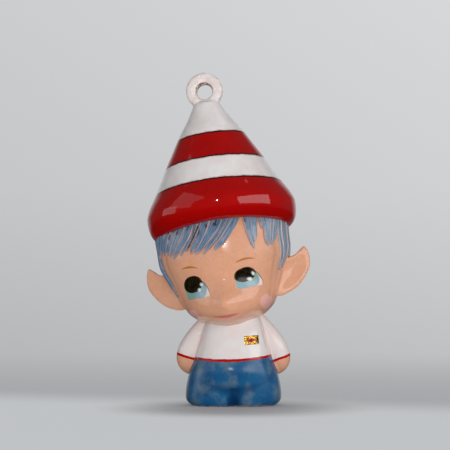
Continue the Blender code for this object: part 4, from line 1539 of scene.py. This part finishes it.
@dataclass(frozen=True)
class SoftBox:
    """A studio soft box: its direction from the figurine, its distance and size in metres, and its light."""

    name: str
    azimuth: float
    elevation: float
    width: float
    height: float
    radiance: float
    distance: float = 1.0
    mirrored: bool = True
    diffused: bool = True

    def build(self, target: Vector) -> None:
        """Hangs the soft box, facing the target. Its power is its radiance times pi times its area."""
        light = bpy.data.lights.new(self.name, "AREA")
        light.shape = "RECTANGLE"
        light.size, light.size_y = self.width, self.height
        light.energy = self.radiance * math.pi * self.width * self.height
        azimuth, elevation = math.radians(self.azimuth), math.radians(self.elevation)
        level = math.cos(elevation)
        away = Vector((math.sin(azimuth) * level, -math.cos(azimuth) * level, math.sin(elevation)))
        made = bpy.data.objects.new(self.name, light)
        facing = away.to_track_quat("Z", "Y").to_matrix().to_4x4()
        made.matrix_world = Matrix.Translation(target + away * self.distance) @ facing
        made.visible_camera = False
        made.visible_glossy = self.mirrored
        made.visible_diffuse = self.diffused
        bpy.context.scene.collection.objects.link(made)


@dataclass
class Studio:
    """A pale table in front of a pale backdrop, the lights and the camera.

    The strips only light the figurine, as the room does, and the small lamp only shows in its glaze.
    """

    boxes: tuple[SoftBox, ...] = (
        SoftBox("soft_box_left", -70, 30, 0.85, 0.85, 0.45),
        SoftBox("soft_box_right", 54, 16, 1.0, 0.44, 2.2),
        SoftBox("soft_box_behind", 180, 62, 1.0, 1.0, 0.9, 1.2),
        SoftBox("soft_box_low", -88, 5, 0.5, 0.32, 1.0),
        SoftBox("small_lamp", -8, 21, 0.018, 0.018, 1300, diffused=False),
        SoftBox("low_strip", 6, 0, 0.5, 0.05, 68, mirrored=False),
        SoftBox("high_strip", 0, 45, 0.5, 0.3, 1.0, mirrored=False),
    )
    camera_from_foot: Point = (-2.55, -750.0, 53.9)
    lens: float = 200.0
    sensor: float = 36.0
    clip: Span = (0.01, 100.0)
    floor_radius: float = 1500.0
    sky_colour: tuple[float, ...] = (0.985, 1.0, 1.025, 1.0)
    sky_height: Ramp = Ramp(-0.07, 0.1)
    sky_low: Ramp = Ramp(0.0, 0.5, 0.46, 0.58)
    sky_high: Ramp = Ramp(0.5, 1.0, 0.0, 0.05)
    sky_across: Ramp = Ramp(-0.1, 0.1, 0.97, 1.1)
    sky_round: Ramp = Ramp(0.72, 0.97, 0.14, 1.0, "SMOOTHSTEP")
    sky_below: Ramp = Ramp(-0.2, -0.1, 0.25, 1.0)
    table_light: tuple[float, ...] = (0.66, 0.68, 0.70, 1.0)
    # Painted shade: the darker colour of the table's band far behind the figurine.
    table_painted_shade: tuple[float, ...] = (0.485, 0.5, 0.515, 1.0)
    table_corners: int = 96
    table_slant: float = 0.4
    table_change: Span = (-24.0, 44.0)
    table_fading: Span = (15.0, 330.0)
    table_glow: float = 0.93
    shadow_middle: float = -15.0
    shadow_reach: Span = (14.0, 44.0)
    shadow_levels: Span = (0.1, 0.62)

    def build(self) -> None:
        """Sets up the lights, the backdrop, the table and the camera."""
        foot = Vector((FOOT * UNIT).tolist())
        target = foot + Vector((0, 0, NOMINAL_HEIGHT / 2 * UNIT))
        for box in self.boxes:
            box.build(target)
        self.backdrop()
        self.table()
        data = bpy.data.cameras.new("camera")
        data.lens, data.sensor_width = self.lens, self.sensor
        data.clip_start, data.clip_end = self.clip
        camera = bpy.data.objects.new("camera", data)
        camera.location = foot + Vector(self.camera_from_foot) * UNIT
        camera.rotation_euler = (math.pi / 2, 0, 0)
        bpy.context.scene.collection.objects.link(camera)
        bpy.context.scene.camera = camera
        bpy.context.scene.view_settings.view_transform = "Standard"

    def backdrop(self) -> None:
        """A lit pale backdrop, darker low down and to the left, in a room that is dark in front."""
        world = bpy.data.worlds.new("backdrop")
        bpy.context.scene.world = world
        world.use_nodes = True
        nodes = Nodes(world.node_tree)
        where = nodes.add("ShaderNodeTexCoord", output="Generated")
        x, y, z = (nodes.axis(where, name) for name in "XYZ")
        height = nodes.ramp(z, self.sky_height)
        level = nodes.math("ADD", nodes.ramp(height, self.sky_low), nodes.ramp(height, self.sky_high))
        shares = nodes.ramp(x, self.sky_across), nodes.ramp(y, self.sky_round), nodes.ramp(z, self.sky_below)
        values = {"Color": self.sky_colour, "Strength": nodes.both(*shares, level)}
        background = nodes.add("ShaderNodeBackground", values)
        nodes.add("ShaderNodeOutputWorld", {"Surface": background})

    def table(self) -> None:
        """A pale matt table top, brighter in front of the figurine and fading out far behind it.

        It glows a little, painted light standing in for a wide sheet of light, save where the figurine
        shades it. The darker colour far behind the figurine is painted shade.
        """
        angle = np.linspace(0, math.tau, self.table_corners, endpoint=False)
        ring = np.stack([np.cos(angle), np.sin(angle), 0 * angle], axis=-1) * self.floor_radius
        mesh = bpy.data.meshes.new("table_top")
        mesh.from_pydata((ring + FOOT * np.array([1, 1, 0])) * UNIT, [], [list(range(len(ring)))])
        top = bpy.data.objects.new("table_top", mesh)
        bpy.context.scene.collection.objects.link(top)
        painter = Painter("matt_white_laminate", Place())
        back = painter.axis(painter.at, "Y")
        edge = painter.math("MULTIPLY_ADD", painter.axis(painter.at, "X"), self.table_slant, back)
        # Painted shade: the table turns to the darker colour behind the figurine.
        ends = {6: self.table_light, 7: self.table_painted_shade}
        change = painter.range(edge, *self.table_change)
        colour = painter.add("ShaderNodeMix", {0: change, **ends}, output=2, data_type="RGBA")
        # Painted light: the table glows.
        shown = painter.add("ShaderNodeEmission", {"Color": colour, "Strength": self.table_glow})
        lit = painter.add("ShaderNodeBsdfDiffuse", {"Color": colour})
        ahead = {0: painter.at, 1: (0.0, -self.shadow_middle, 0.0)}
        far = painter.length(painter.add("ShaderNodeVectorMath", ahead, operation="ADD"))
        low, more = self.shadow_levels
        even = painter.math("MULTIPLY_ADD", painter.range(far, *self.shadow_reach), more, low)
        shader = painter.add("ShaderNodeMixShader", {0: even, 1: lit, 2: shown})
        clear = painter.add("ShaderNodeBsdfTransparent")
        fading = painter.range(back, *self.table_fading)
        mixed = painter.add("ShaderNodeMixShader", {0: fading, 1: shader, 2: clear})
        painter.add("ShaderNodeOutputMaterial", {"Surface": mixed})
        mesh.materials.append(painter.material)
        top.visible_glossy = False


@dataclass
class Figurine:
    """The whole figurine: how the head sits on the body, and the hat on the head."""

    head_middle: Point = (-2.2, 0.5, 41.85)
    lean: float = 7.9
    head_tip_back: float = 6.0
    hat_tip_back: float = 10.0
    twist: float = 7.0
    hat_seat: Point = (0.76, 0.12, 15.08)

    def build(self) -> None:
        """Builds every piece and ties it to the casting's solid."""
        head_place = Place(self.head_middle, turn(self.lean, self.head_tip_back, self.twist))
        hat_middle = head_place.rotation @ np.array(self.hat_seat) + np.array(self.head_middle)
        hat_place = Place(tuple(hat_middle), turn(self.lean, self.hat_tip_back, self.twist))
        head = Head(head_place)
        for form in (Clothes(Place()), head, Hair(head), Hat(hat_place)):
            piece = form.build()
            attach(piece, BODY)
            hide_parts(NODE)
            mesh = piece.data
            LOG.info("%s: %d points, %d faces", piece.name, len(mesh.vertices), len(mesh.polygons))


def main() -> None:
    """Builds the figurine and its studio, in order."""
    logging.basicConfig(level=logging.INFO, format="%(name)s: %(message)s")
    Figurine().build()
    Studio().build()


if __name__ == "__main__":
    main()
